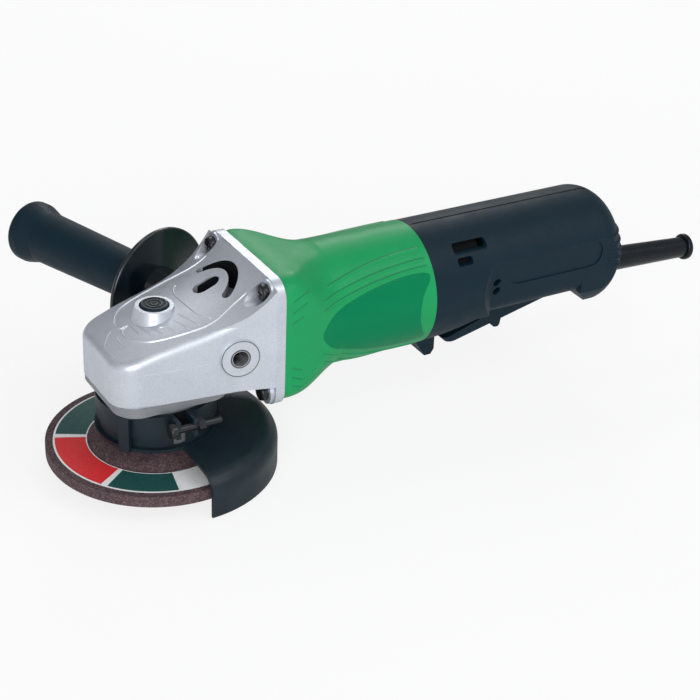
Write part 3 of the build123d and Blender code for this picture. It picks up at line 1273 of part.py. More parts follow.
# Cord guard: root in the covers' groove, tapering sleeve, end collar
with BuildPart() as cord_guard:
    with BuildSketch(Plane(origin=cord_plane.origin, x_dir=cord_plane.z_dir, z_dir=(0, -1, 0))) as guard_half:
        with BuildLine():
            straight = TAIL_END_X + CORD_GUARD_ROOT_T - CORD_GUARD_X
            Polyline(
                (0, CORD_BORE_R),
                (0, CORD_GUARD_ROOT_R),
                (CORD_GUARD_ROOT_T, CORD_GUARD_ROOT_R),
                (CORD_GUARD_ROOT_T, CORD_GUARD_R),
                (straight, CORD_GUARD_R),
                (CORD_GUARD_L - CORD_COLLAR_T, CORD_GUARD_END_R),
                (CORD_GUARD_L - CORD_COLLAR_T, CORD_COLLAR_R),
                (CORD_GUARD_L, CORD_COLLAR_R),
                (CORD_GUARD_L, CORD_BORE_R),
                close=True,
            )
        make_face()
    revolve(axis=Axis(cord_plane.origin, cord_plane.z_dir))
    collar_edges = cord_guard.edges().filter_by(GeomType.CIRCLE).filter_by(
        lambda e: abs(e.radius - CORD_COLLAR_R) < SEAT
    )
    fillet(collar_edges, CORD_COLLAR_ROUND)
save("cord_guard", cord_guard.part)

# Wheel guard: half skirt with a sloping top plate, full collar round the bearing box neck
COLLAR_R = NECK_R + PASS
COLLAR_OUT_R = COLLAR_R + COLLAR_T
PLATE_Z = WHEEL_MID_Z + GUARD_ABOVE
COLLAR_TOP_Z = BOX_FLANGE_Z - COLLAR_TOP_GAP
SKIRT_Z = WHEEL_MID_Z - GUARD_BELOW
SHOULDER_TOP_Z = PLATE_Z - GUARD_FALL


def spindle_half_plane(angle):
    """Half plane through the spindle axis: its own x is the radius, its own y is the height."""
    turn = math.radians(angle)
    return Plane(
        origin=(0, 0, 0),
        x_dir=(math.cos(turn), math.sin(turn), 0),
        z_dir=(math.sin(turn), -math.cos(turn), 0),
    )


with BuildPart() as wheel_guard:
    with BuildSketch(spindle_half_plane(-GUARD_SPAN / 2)):
        with BuildLine() as skin:
            Polyline(
                (COLLAR_OUT_R - COLLAR_T / 2, PLATE_Z - GUARD_T / 2),
                (GUARD_R - GUARD_TOP_R, SHOULDER_TOP_Z - GUARD_T / 2),
                (GUARD_R - GUARD_T / 2, SHOULDER_TOP_Z - GUARD_TOP_R),
                (GUARD_R - GUARD_T / 2, SKIRT_Z),
            )
            fillet(skin.vertices().sort_by(Axis.X)[1:3], GUARD_TOP_R)
            offset(amount=GUARD_T / 2, side=Side.BOTH)
        make_face()
    revolve(axis=Axis.Z, revolution_arc=GUARD_SPAN)
    tube(spindle_plane(PLATE_Z - COLLAR_LIP_T), COLLAR_OUT_R, COLLAR_R, COLLAR_TOP_Z - PLATE_Z + COLLAR_LIP_T)
    tube(spindle_plane(PLATE_Z - COLLAR_LIP_T), COLLAR_LIP_R, COLLAR_R, COLLAR_LIP_T)
    with BuildSketch(spindle_plane(PLATE_Z + PASS)):
        with Locations((0, -NECK_R)):
            Rectangle(BAND_SLIT, NECK_R)
    extrude(amount=NECK_H, mode=Mode.SUBTRACT)
save("wheel_guard", wheel_guard.part)

# Clamp band with two ears and a stop tab
BAND_R = COLLAR_OUT_R + SEAT
BAND_OUT_R = BAND_R + BAND_T
BAND_Z = COLLAR_TOP_Z - BAND_H
EAR_Z = COLLAR_TOP_Z - EAR_H
EAR_Y = -(BAND_R + EAR_L)
CLAMP_Y = -(BAND_OUT_R + EAR_SCREW_OUT)
CLAMP_Z = EAR_Z + EAR_H / 2


def clamp_plane(x):
    """Plane square to the clamp screw at x."""
    return Plane(origin=(x, CLAMP_Y, CLAMP_Z), x_dir=(0, 1, 0), z_dir=(1, 0, 0))


EAR_OUT_X = BAND_SLIT / 2 + EAR_T
with BuildPart() as guard_band:
    tube(spindle_plane(BAND_Z), BAND_OUT_R, BAND_R, BAND_H)
    with BuildSketch(spindle_plane(EAR_Z)):
        with Locations((0, EAR_Y / 2)):
            Rectangle(2 * EAR_OUT_X, -EAR_Y)
        Circle(BAND_R, mode=Mode.SUBTRACT)
    extrude(amount=EAR_H)
    with BuildSketch(spindle_plane(BAND_Z)):
        with Locations((0, EAR_Y)):
            Rectangle(BAND_SLIT, 2 * EAR_L + BAND_T * 2)
    extrude(amount=BAND_H, mode=Mode.SUBTRACT)
    tube(clamp_plane(-2 * EAR_OUT_X), CLAMP_SCREW_R + HOLE, 0, 4 * EAR_OUT_X, Mode.SUBTRACT)
    stop = math.radians(STOP_ANGLE)
    stop_plane = Plane(
        origin=(BAND_R * math.cos(stop), BAND_R * math.sin(stop), BAND_Z - STOP_DROP),
        x_dir=(-math.sin(stop), math.cos(stop), 0),
        z_dir=(0, 0, 1),
    )
    with BuildSketch(stop_plane) as tab:
        with Locations((0, -BAND_T - STOP_STAND - STOP_T / 2)):
            Rectangle(STOP_W, STOP_T)
    extrude(tab.sketch, amount=STOP_DROP + BAND_H)
    with BuildSketch(stop_plane.offset(STOP_DROP)) as tab_root:
        with Locations((0, -BAND_T / 2 - (BAND_T + STOP_STAND) / 2)):
            Rectangle(STOP_W, BAND_T + STOP_STAND)
    extrude(tab_root.sketch, amount=BAND_H)
save("guard_band", guard_band.part)

with BuildPart() as guard_clamp_screw:
    tube(clamp_plane(-EAR_OUT_X - CLAMP_HEAD_T), CLAMP_HEAD_R, 0, CLAMP_HEAD_T)
    fillet(guard_clamp_screw.faces().sort_by(Axis.X)[0].edges(), CLAMP_HEAD_ROUND)
    tube(clamp_plane(-EAR_OUT_X), CLAMP_SCREW_R, 0, CLAMP_SCREW_L)
save("guard_clamp_screw", guard_clamp_screw.part)

with BuildPart() as guard_clamp_nut:
    with BuildSketch(clamp_plane(EAR_OUT_X)):
        RegularPolygon(CLAMP_NUT_R, 6)
        Circle(CLAMP_SCREW_R + SEAT, mode=Mode.SUBTRACT)
    extrude(amount=CLAMP_NUT_T)
save("guard_clamp_nut", guard_clamp_nut.part)

# Spindle lock: button with its pin and square tang, and the spring in the button's pocket
TANG_Z = SPINDLE_TOP_Z + TANG_REST_GAP
POCKET_TOP_Z = BUTTON_Z + SPRING_POCKET_H
with BuildPart() as lock_button:
    tube(spindle_plane(BUTTON_Z), BUTTON_R, 0, BUTTON_H)
    fillet(lock_button.faces().sort_by(Axis.Z)[-1].edges(), BUTTON_EDGE_R)
    tube(spindle_plane(BUTTON_Z), SPRING_POCKET_R, LOCK_PIN_R, SPRING_POCKET_H, Mode.SUBTRACT)
    tube(spindle_plane(TANG_Z + TANG_L), LOCK_PIN_R, 0, BUTTON_Z - TANG_Z - TANG_L)
    with BuildSketch(spindle_plane(TANG_Z)):
        Rectangle(TANG_SIDE, TANG_SIDE)
    extrude(amount=TANG_L)
save("lock_button", lock_button.part)


def coil_point(turn, bottom, rise):
    """Point on the coil after a number of turns."""
    angle = 2 * math.pi * turn
    return (SPRING_R * math.cos(angle), SPRING_R * math.sin(angle), bottom + rise * turn / SPRING_TURNS)


with BuildPart() as lock_spring:
    coil_bottom = BUTTON_FLOOR_Z + SPRING_WIRE_R + SEAT
    coil_rise = POCKET_TOP_Z - SPRING_WIRE_R - SEAT - coil_bottom
    with BuildLine() as coil:
        for quarter in range(4 * SPRING_TURNS):
            ThreePointArc(
                coil_point(quarter / 4, coil_bottom, coil_rise),
                coil_point(quarter / 4 + 0.125, coil_bottom, coil_rise),
                coil_point(quarter / 4 + 0.25, coil_bottom, coil_rise),
            )
    with BuildSketch(Plane(origin=coil.line @ 0, z_dir=coil.line % 0)):
        Circle(SPRING_WIRE_R)
    sweep()
save("lock_spring", lock_spring.part)

# Side handle on the far socket: threaded bolt, hand disc with a hub, grip
GRIP_START = DISC_STAND + DISC_T
with BuildPart() as side_handle_bolt:
    bolt_in_case = SOCKET_BORE_DEPTH - BOLT_END_GAP
    tube(far_socket.offset(-bolt_in_case), BOLT_R, 0, bolt_in_case + GRIP_START + BOLT_IN_GRIP)
save("side_handle_bolt", side_handle_bolt.part)

handle_axis = Axis(far_socket.origin, far_socket.z_dir)
handle_half = Plane(origin=far_socket.origin, x_dir=far_socket.z_dir, z_dir=(0, 0, 1))
with BuildPart() as side_handle_disc:
    with BuildSketch(handle_half):
        with BuildLine():
            Polyline(
                (0, BOLT_R + SEAT),
                (0, DISC_HUB_TOP_R),
                (DISC_STAND, DISC_HUB_R),
                (DISC_STAND, DISC_R),
                (GRIP_START, DISC_R),
                (GRIP_START, BOLT_R + SEAT),
                close=True,
            )
        make_face()
    revolve(axis=handle_axis)
    disc_circles = side_handle_disc.edges().filter_by(GeomType.CIRCLE)
    rim_edges = disc_circles.filter_by(lambda e: e.radius > DISC_R - SEAT)
    fillet(rim_edges, DISC_RIM_R)
save("side_handle_disc", side_handle_disc.part)

with BuildPart() as side_handle_grip:
    with BuildSketch(handle_half):
        with BuildLine():
            Polyline(
                (GRIP_START, BOLT_R + SEAT),
                (GRIP_START, GRIP_R_NEAR),
                (GRIP_START + GRIP_L - GRIP_END_T - GRIP_NECK_L, GRIP_R_FAR),
                (GRIP_START + GRIP_L - GRIP_END_T, GRIP_END_R),
                (GRIP_START + GRIP_L, GRIP_END_R),
                (GRIP_START + GRIP_L, 0),
                (GRIP_START + BOLT_IN_GRIP, 0),
                (GRIP_START + BOLT_IN_GRIP, BOLT_R + SEAT),
                close=True,
            )
        make_face()
    revolve(axis=handle_axis)
    grip_circles = side_handle_grip.edges().filter_by(GeomType.CIRCLE)
    end_edges = grip_circles.filter_by(lambda e: e.radius > GRIP_END_R - SEAT)
    fillet(end_edges, GRIP_END_ROUND)
save("side_handle_grip", side_handle_grip.part)
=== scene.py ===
import json
import math

import bmesh
import bpy
from mathutils import Matrix, Vector
from mathutils.bvhtree import BVHTree


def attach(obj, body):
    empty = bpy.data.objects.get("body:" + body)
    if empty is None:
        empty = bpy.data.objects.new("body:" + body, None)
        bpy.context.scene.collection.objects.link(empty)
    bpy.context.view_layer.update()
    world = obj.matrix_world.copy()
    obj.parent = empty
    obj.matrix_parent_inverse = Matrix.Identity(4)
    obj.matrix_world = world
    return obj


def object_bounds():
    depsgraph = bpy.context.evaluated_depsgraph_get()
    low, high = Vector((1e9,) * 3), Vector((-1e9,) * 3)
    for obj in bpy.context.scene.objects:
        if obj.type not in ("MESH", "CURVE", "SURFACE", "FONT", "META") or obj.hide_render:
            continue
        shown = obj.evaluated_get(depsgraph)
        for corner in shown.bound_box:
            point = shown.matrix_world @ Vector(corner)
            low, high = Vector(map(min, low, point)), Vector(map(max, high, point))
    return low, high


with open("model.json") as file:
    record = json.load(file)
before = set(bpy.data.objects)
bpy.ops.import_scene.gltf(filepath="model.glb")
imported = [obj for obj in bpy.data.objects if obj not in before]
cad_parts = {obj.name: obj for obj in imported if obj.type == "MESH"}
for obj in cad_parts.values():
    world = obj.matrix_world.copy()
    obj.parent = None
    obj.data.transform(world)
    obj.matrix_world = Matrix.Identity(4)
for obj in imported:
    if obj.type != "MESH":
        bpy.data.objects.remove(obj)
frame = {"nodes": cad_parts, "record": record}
cad_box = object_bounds()
nodes = frame["nodes"]
scene = bpy.context.scene

MM = 0.001
MOTOR_Z = 68.4
MOTOR_AXIS = Vector((0, 0, MOTOR_Z)) * MM


# Camera at the photograph's angle
CAMERA_PLACE = Vector((-323.93, -739.15, 513.16)) * MM
CAMERA_RIGHT = Vector((0.86942, -0.49276, 0.03592))
CAMERA_UP = Vector((0.21316, 0.43969, 0.87249))
CAMERA_LENS = 93.289

camera_data = bpy.data.cameras.new("camera")
camera_data.sensor_width = 36.0
camera_data.lens = CAMERA_LENS
camera_data.clip_start = 0.01
camera_data.clip_end = 50.0
camera = bpy.data.objects.new("camera", camera_data)
scene.collection.objects.link(camera)
right = CAMERA_RIGHT.normalized()
back = right.cross(CAMERA_UP).normalized()
up = back.cross(right).normalized()
turn = Matrix((right, up, back)).transposed()
camera.matrix_world = Matrix.Translation(CAMERA_PLACE) @ turn.to_4x4()
scene.camera = camera


# Materials: colour, roughness and relief from procedural textures in the row frame
def tint(r, g, b):
    """Linear colour of a display colour given in 0 to 255."""
    out = []
    for c in (r, g, b):
        c = c / 255
        out.append(c / 12.92 if c <= 0.04045 else ((c + 0.055) / 1.055) ** 2.4)
    return (*out, 1.0)


class Surface:
    """A node material that is put together from a few textures."""

    def __init__(self, name, metallic=0.0, coat=0.0, coat_roughness=0.1, specular=0.5):
        self.material = bpy.data.materials.new(name)
        self.material.use_nodes = True
        self.tree = self.material.node_tree
        self.shader = self.tree.nodes["Principled BSDF"]
        self.shader.inputs["Metallic"].default_value = metallic
        self.shader.inputs["Coat Weight"].default_value = coat
        self.shader.inputs["Coat Roughness"].default_value = coat_roughness
        self.shader.inputs["Specular IOR Level"].default_value = specular
        self.place = self.tree.nodes.new("ShaderNodeTexCoord").outputs["Object"]
        self.relief_end = None

    def link(self, out, into):
        self.tree.links.new(out, into)

    def stretched(self, x, y, z):
        node = self.tree.nodes.new("ShaderNodeMapping")
        node.inputs["Scale"].default_value = (x, y, z)
        self.link(self.place, node.inputs["Vector"])
        return node.outputs["Vector"]

    def noise(self, scale, detail=3.0, roughness=0.55, place=None):
        node = self.tree.nodes.new("ShaderNodeTexNoise")
        node.inputs["Scale"].default_value = scale
        node.inputs["Detail"].default_value = detail
        node.inputs["Roughness"].default_value = roughness
        self.link(place or self.place, node.inputs["Vector"])
        return node.outputs["Fac"]

    def cells(self, scale, output="Color"):
        node = self.tree.nodes.new("ShaderNodeTexVoronoi")
        node.inputs["Scale"].default_value = scale
        self.link(self.place, node.inputs["Vector"])
        return node.outputs[output]

    def stripes(self, scale, direction="X"):
        node = self.tree.nodes.new("ShaderNodeTexWave")
        node.bands_direction = direction
        node.inputs["Scale"].default_value = scale
        node.inputs["Distortion"].default_value = 0.4
        self.link(self.place, node.inputs["Vector"])
        return node.outputs["Fac"]

    def ramp(self, value, *stops):
        node = self.tree.nodes.new("ShaderNodeValToRGB")
        band = node.color_ramp
        while len(band.elements) < len(stops):
            band.elements.new(0.5)
        for element, (at, colour) in zip(band.elements, stops):
            element.position = at
            element.color = colour
        self.link(value, node.inputs["Fac"])
        return node.outputs["Color"]

    def span(self, value, low, high, first=0.3, last=0.7):
        node = self.tree.nodes.new("ShaderNodeMapRange")
        node.inputs["From Min"].default_value = first
        node.inputs["From Max"].default_value = last
        node.inputs["To Min"].default_value = low
        node.inputs["To Max"].default_value = high
        self.link(value, node.inputs["Value"])
        return node.outputs["Result"]

    def mixed(self, amount, a, b):
        node = self.tree.nodes.new("ShaderNodeMix")
        node.data_type = "RGBA"
        colours = [s for s in node.inputs if s.type == "RGBA"]
        self.link(amount, node.inputs["Factor"])
        for source, socket in ((a, colours[0]), (b, colours[1])):
            if isinstance(source, tuple):
                socket.default_value = source
            else:
                self.link(source, socket)
        return [s for s in node.outputs if s.type == "RGBA"][0]

    def colour(self, source):
        self.link(source, self.shader.inputs["Base Color"])

    def roughness(self, source):
        self.link(source, self.shader.inputs["Roughness"])

    def relief(self, height, strength, depth_mm):
        node = self.tree.nodes.new("ShaderNodeBump")
        node.inputs["Strength"].default_value = strength
        node.inputs["Distance"].default_value = depth_mm * MM
        self.link(height, node.inputs["Height"])
        if self.relief_end is not None:
            self.link(self.relief_end, node.inputs["Normal"])
        self.relief_end = node.outputs["Normal"]
        self.link(self.relief_end, self.shader.inputs["Normal"])


def shades(colour, low, high):
    """The colour made darker and lighter."""
    dark = tuple(c * low for c in colour[:3])
    light = tuple(min(1.0, c * high) for c in colour[:3])
    return (*dark, 1.0), (*light, 1.0)


def moulded(name, colour, rough, grain=2600.0, depth=0.05, strength=0.3, vary=0.12, **more):
    """Moulded plastic: slight flow clouds, spark-eroded grain, uneven gloss."""
    s = Surface(name, **more)
    dark, light = shades(colour, 1 - vary, 1 + vary)
    clouds = s.ramp(s.noise(60.0, 4.0), (0.3, dark), (0.7, light))
    grains = s.noise(grain, 3.0, 0.6)
    low, high = shades(colour, 1 - 2 * vary, 1 + 2 * vary)
    specks = s.ramp(grains, (0.35, low), (0.65, high))
    s.colour(s.mixed(s.span(s.noise(900.0, 2.0), 0.25, 0.6), clouds, specks))
    s.roughness(s.span(s.noise(140.0, 4.0), rough - 0.05, rough + 0.06))
    s.relief(grains, strength, depth)
    return s.material


def cast_metal(name, base):
    """Sand-grey die casting: fine grain, faint flow clouds, satin sheen."""
    s = Surface(name, metallic=0.72)
    dark, light = shades(base, 0.88, 1.08)
    clouds = s.ramp(s.noise(45.0, 5.0), (0.3, dark), (0.7, light))
    grains = s.noise(1700.0, 4.0, 0.65)
    low, high = shades(base, 0.78, 1.12)
    specks = s.ramp(grains, (0.34, low), (0.62, high))
    s.colour(s.mixed(s.span(s.noise(500.0, 2.0), 0.3, 0.7), clouds, specks))
    s.roughness(s.span(s.noise(260.0, 4.0), 0.36, 0.5))
    s.relief(grains, 0.35, 0.06)
    s.relief(s.noise(150.0, 2.0), 0.12, 0.25)
    return s.material


TOOL_LINES = (400.0, 400.0, 4000.0)     # stretch of the noise along x, y and z


def machined(name, colour, rough, metallic=1.0):
    """Turned or ground metal with fine tool lines."""
    s = Surface(name, metallic=metallic)
    dark, light = shades(colour, 0.84, 1.1)
    cuts = s.noise(1.0, 3.0, 0.6, s.stretched(*TOOL_LINES))
    s.colour(s.ramp(cuts, (0.3, dark), (0.7, light)))
    s.roughness(s.span(s.noise(200.0, 3.0), rough - 0.06, rough + 0.08))
    s.relief(cuts, 0.2, 0.02)
    return s.material


def painted_sheet():
    """Black baked paint with a soft orange-peel skin and a few dull patches."""
    s = Surface("black_sheet", coat=0.05, coat_roughness=0.35, specular=0.3)
    dark, light = shades(tint(18, 34, 42), 0.75, 1.2)
    s.colour(s.ramp(s.noise(80.0, 5.0), (0.3, dark), (0.7, light)))
    s.roughness(s.span(s.noise(110.0, 5.0), 0.36, 0.5))
    s.relief(s.noise(700.0, 2.0), 0.12, 0.06)
    return s.material


def bonded_grain():
    """Bonded abrasive: dark resin, brown-red grains, pores."""
    s = Surface("abrasive", specular=0.35)
    grain = s.cells(1900.0, "Color")
    pick = s.tree.nodes.new("ShaderNodeSeparateColor")
    s.link(grain, pick.inputs["Color"])
    grains = s.ramp(
        pick.outputs["Red"],
        (0.0, tint(50, 38, 43)),
        (0.45, tint(78, 60, 66)),
        (0.8, tint(104, 82, 86)),
        (0.97, tint(138, 116, 114)),
    )
    clouds = s.ramp(s.noise(240.0, 4.0), (0.35, tint(58, 46, 52)), (0.65, tint(92, 73, 78)))
    s.colour(s.mixed(s.span(s.noise(2400.0, 2.0), 0.25, 0.8), clouds, grains))
    s.roughness(s.span(pick.outputs["Green"], 0.5, 0.95, 0.0, 1.0))
    s.relief(s.cells(1900.0, "Distance"), 0.7, 0.25)
    s.relief(s.noise(3200.0, 3.0), 0.4, 0.12)
    return s.material


def printed_paper(name, colour):
    """Coated paper on the wheel, taking a little of the grain below."""
    s = Surface(name)
    dark, light = shades(colour, 0.9, 1.04)
    s.colour(s.ramp(s.noise(900.0, 4.0), (0.3, dark), (0.68, light)))
    s.roughness(s.span(s.noise(300.0, 3.0), 0.42, 0.58))
    s.relief(s.noise(1100.0, 3.0), 0.25, 0.06)
    return s.material


def soft_rubber():
    """Cord guard rubber: smooth and shiny with a faint bloom."""
    s = Surface("rubber", coat=0.1, coat_roughness=0.15, specular=0.22)
    dark, light = shades(tint(7, 17, 24), 0.75, 1.25)
    s.colour(s.ramp(s.noise(120.0, 5.0), (0.3, dark), (0.7, light)))
    s.roughness(s.span(s.noise(180.0, 4.0), 0.24, 0.36))
    s.relief(s.noise(500.0, 2.0), 0.08, 0.06)
    return s.material


def stacked_sheets():
    """Steel laminations seen on edge along the motor axis."""
    s = Surface("lamination", metallic=0.9)
    lines = s.stripes(320.0)
    s.colour(s.ramp(lines, (0.2, (0.09, 0.09, 0.1, 1.0)), (0.8, (0.24, 0.24, 0.26, 1.0))))
    s.roughness(s.span(s.noise(300.0, 3.0), 0.4, 0.55))
    s.relief(lines, 0.4, 0.1)
    return s.material


def wound_wire():
    """Lacquered copper turns."""
    s = Surface("copper", metallic=0.85, coat=0.4, coat_roughness=0.2)
    lines = s.stripes(260.0, "DIAGONAL")
    s.colour(s.ramp(lines, (0.2, (0.3, 0.1, 0.045, 1.0)), (0.8, (0.62, 0.26, 0.12, 1.0))))
    s.roughness(s.span(s.noise(300.0, 3.0), 0.25, 0.4))
    s.relief(lines, 0.5, 0.2)
    return s.material


GREEN = tint(18, 147, 85)
PANEL_GREEN = tint(0, 119, 76)
BLUE_BLACK = tint(5, 32, 44)

look = {
    "cast_aluminium": cast_metal("cast_aluminium", tint(206, 211, 220)),
    # A darker copy of the cast aluminium, painted shade for the bearing box
    "painted_shade_aluminium": cast_metal("painted_shade_aluminium", tint(146, 149, 154)),
    "steel": machined("steel", (0.53, 0.54, 0.56, 1.0), 0.3),
    # Dark metal for the handle socket: painted shade in the tapped hole and on its rim and edge line
    "socket_shade_metal": machined("socket_shade_metal", (0.15, 0.15, 0.155, 1.0), 0.42),
    "black_screws": machined("black_screws", (0.03, 0.032, 0.036, 1.0), 0.24, 0.6),
    "black_sheet": painted_sheet(),
    "black_plastic": moulded("black_plastic", BLUE_BLACK, 0.5, specular=0.2),
    "gloss_black_plastic": moulded(
        "gloss_black_plastic", tint(8, 18, 24), 0.2, 300.0, 0.03, 0.06, coat=0.35, coat_roughness=0.12
    ),
    "green_plastic": moulded("green_plastic", GREEN, 0.42, 3000.0, 0.04, 0.22, 0.06, specular=0.22),
    "green_panel": moulded("green_panel", PANEL_GREEN, 0.34, 3000.0, 0.03, 0.1, 0.05, specular=0.1),
    # Dark green for lines beside the raised bands: painted shade along their edges
    "green_line": moulded("green_line", tint(6, 96, 74), 0.6, 3000.0, 0.03, 0.1, 0.05),
    "abrasive": bonded_grain(),
    "rubber": soft_rubber(),
    "lamination": stacked_sheets(),
    "copper": wound_wire(),
    "brass": machined("brass", (0.68, 0.48, 0.2, 1.0), 0.3),
    "carbon": moulded("carbon", (0.03, 0.03, 0.032, 1.0), 0.6),
    "inner_plastic": moulded("inner_plastic", (0.03, 0.032, 0.036, 1.0), 0.5),
    # Near-black for the dark of real seams, and for painted shade in the air outlets, the socket hole, the
    # collar's slit and behind the tail's slots
    "joint_shadow": moulded("joint_shadow", (0.006, 0.007, 0.008, 1.0), 0.8, specular=0.05),
    "label_white": printed_paper("label_white", tint(236, 238, 238)),
    "label_red": printed_paper("label_red", tint(222, 42, 46)),
    "label_green": printed_paper("label_green", tint(24, 78, 76)),
}

# The bearing box gets the darker copy: painted shade under the gear case and behind the collar's slit
LOOK_OF = {"bearing_box": "painted_shade_aluminium"}
slot_of = {part["node"]: part["material_slot"] for part in frame["record"]["subparts"]}
for name, node in nodes.items():
    material = look[LOOK_OF.get(name, slot_of[name])]
    for held in node.material_slots:
        held.material = material
    if not node.material_slots:
        node.data.materials.append(material)


# Help for pieces that lie on a CAD surface
def search_tree(*names):
    """The triangles of these nodes, for casting rays."""
    points = []
    faces = []
    for name in names:
        node = nodes[name]
        start = len(points)
        points += [node.matrix_world @ v.co for v in node.data.vertices]
        node.data.calc_loop_triangles()
        faces += [[start + i for i in t.vertices] for t in node.data.loop_triangles]
    return BVHTree.FromPolygons(points, faces)


def smooth_path(points, step):
    """Points about one step apart on a curve through the given ones."""
    points = [Vector(p) for p in points]
    ends = [2 * points[0] - points[1]] + points + [2 * points[-1] - points[-2]]
    out = []
    for a, b, c, d in zip(ends, ends[1:], ends[2:], ends[3:]):
        count = max(2, round((c - b).length / step))
        for i in range(count):
            t = i / count
            out.append(
                0.5
                * (
                    2 * b
                    + (c - a) * t
                    + (2 * a - 5 * b + 4 * c - d) * t * t
                    + (3 * b - a - 3 * c + d) * t * t * t
                )
            )
    out.append(points[-1])
    return out


def finished(name, mesh_data, body, slot, angle=50.0):
    """A piece from a bmesh: smooth by angle, with its material, riding on its body."""
    bmesh.ops.recalc_face_normals(mesh_data, faces=mesh_data.faces)
    mesh = bpy.data.meshes.new(name)
    mesh_data.to_mesh(mesh)
    mesh_data.free()
    piece = bpy.data.objects.new(name, mesh)
    scene.collection.objects.link(piece)
    for face in mesh.polygons:
        face.use_smooth = True
    mesh.set_sharp_from_angle(angle=math.radians(angle))
    mesh.materials.append(look[slot])
    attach(piece, body)
    return piece


NEAR_REACH = 8.0          # start of a cast above a point near the surface, in mm
FAR_REACH = 40.0          # and above a path that only roughly follows it


def on_surface(tree, place, normal, reach):
    """The surface point under a place, looking along the normal from outside."""
    start = place + normal * reach * MM
    spot, _, _, _ = tree.ray_cast(start, -normal, 3 * reach * MM)
    if spot is None:
        spot, _, _, _ = tree.find_nearest(place)
    return spot


RIDGE_STRIPS = 8          # faces across a bar
RIDGE_TIP = 0.12          # share of the width that a bar keeps at its ends


def ridge(
    name, tree, path, normal_at, width, height, body, slot, step=0.8, sink=0.08, aside=0.0
):
    """A low rounded bar that follows a path over a surface, or runs beside it."""
    points = smooth_path([Vector(p) * MM for p in path], step * MM)
    line = [on_surface(tree, p, normal_at(p), FAR_REACH) for p in points]
    lengths = [0.0]
    for a, b in zip(line, line[1:]):
        lengths.append(lengths[-1] + (b - a).length)
    whole = lengths[-1]
    shape = bmesh.new()
    rows = []
    for i, spot in enumerate(line):
        ahead = line[min(i + 1, len(line) - 1)]
        behind = line[max(i - 1, 0)]
        along = (ahead - behind).normalized()
        normal = normal_at(spot)
        across = along.cross(normal).normalized()
        near_end = min(lengths[i], whole - lengths[i]) / (width * MM)
        fade = math.sqrt(max(0.0, 1 - (1 - min(1.0, near_end)) ** 2))
        row = []
        for k in range(RIDGE_STRIPS + 1):
            u = 2 * k / RIDGE_STRIPS - 1
            place = spot + across * (aside + u * width / 2 * max(fade, RIDGE_TIP)) * MM
            foot = on_surface(tree, place, normal, NEAR_REACH)
            rise = height * fade * math.cos(u * math.pi / 2) - sink
            row.append(shape.verts.new(foot + normal * rise * MM))
        rows.append(row)
    for a, b in zip(rows, rows[1:]):
        for k in range(RIDGE_STRIPS):
            shape.faces.new((a[k], a[k + 1], b[k + 1], b[k]))
    return finished(name, shape, body, slot, 70.0)


UPWARD = Vector((0, 0, 1))


def upward(_):
    return UPWARD


def outward(point):
    """Away from the motor axis."""
    away = point - MOTOR_AXIS
    away.x = 0
    return away.normalized()


def leftward(_):
    return Vector((0, -1, 0))


# Cast lines on the gear case
case = search_tree("gear_case")
CASE_TOP = 80.0
LEAF_SECTION = (1.15, 0.75)             # width and height of a line
RIB_SECTION = (0.8, 0.5)
MARK_SECTION = (0.8, 0.42)
PARTING_SECTION = (0.35, 0.16)
FINE_SINK = 0.03          # foot of a fine line under the surface


def over_case(points):
    return [(x, y, CASE_TOP) for x, y in points]


LEAF = (
    (-14.0, 0.0), (-18.5, -1.5), (-18.5, -8.5), (-13.5, -17.0), (-5.5, -21.5),
    (9.0, -25.0), (20.5, -26.0), (32.0, -23.5), (40.0, -23.0),
)
RIBS = (
    ((-14.0, -1.0), (-13.5, -7.0), (-13.0, -11.5)),
    ((-11.5, -2.5), (-10.5, -8.0), (-8.5, -16.5)),
    ((-10.0, -8.0), (-7.0, -11.5), (-3.0, -19.5)),
    ((-4.0, -13.0), (-0.8, -15.0), (3.0, -21.5)),
    ((4.0, -13.0), (5.8, -16.0), (8.5, -23.0)),
    ((8.0, -10.0), (9.5, -14.0), (14.0, -24.0)),
    ((18.5, 13.5), (16.0, 12.5), (13.5, 3.0), (15.5, -15.5), (20.5, -23.5)),
)
MARKS = (
    ((-22.0, 4.0), (-26.0, 0.5), (-29.5, -4.5)),
    ((-22.5, -2.0), (-22.5, -9.0), (-21.5, -15.0)),
    ((-27.5, -3.0), (-26.5, -9.5), (-25.0, -15.0)),
)
for side, word in ((1, "near"), (-1, "far")):
    ridge(
        "case_leaf_" + word, case, over_case([(x, y * side) for x, y in LEAF]), upward,
        *LEAF_SECTION, "housing", "cast_aluminium",
    )
for i, path in enumerate(RIBS):
    ridge("case_rib_%d" % i, case, over_case(path), upward, *RIB_SECTION, "housing", "cast_aluminium")
for i, path in enumerate(MARKS):
    ridge("case_mark_%d" % i, case, over_case(path), upward, *MARK_SECTION, "housing", "cast_aluminium")
PARTING = ((-24.0, -28.5, 65.6), (-9.5, -29.4, 65.6), (2.3, -30.8, 65.6), (20.0, -34.0, 66.0))
ridge(
    "case_parting_near", case, PARTING, leftward, *PARTING_SECTION, "housing", "cast_aluminium",
    sink=FINE_SINK,
)


# Painted shade: near-black floors and walls in the air outlets on top of the gear case
VENT_FLOOR_Z = MOTOR_Z + 16.15
VENT_LIP = 1.0            # bare wall left under the case's surface
VENT_SKIN = 0.15          # painted shade sheet off the wall
VENT_LEAST = 0.2          # lowest wall
CRESCENT_X = 25.0
CRESCENT_R = 17.0
CRESCENT_W = 5.0
CRESCENT_HALF_ANGLE = 60.0
OVAL_X = 28.5
OVAL_HALF_L = 7.0
OVAL_HALF_W = 4.25


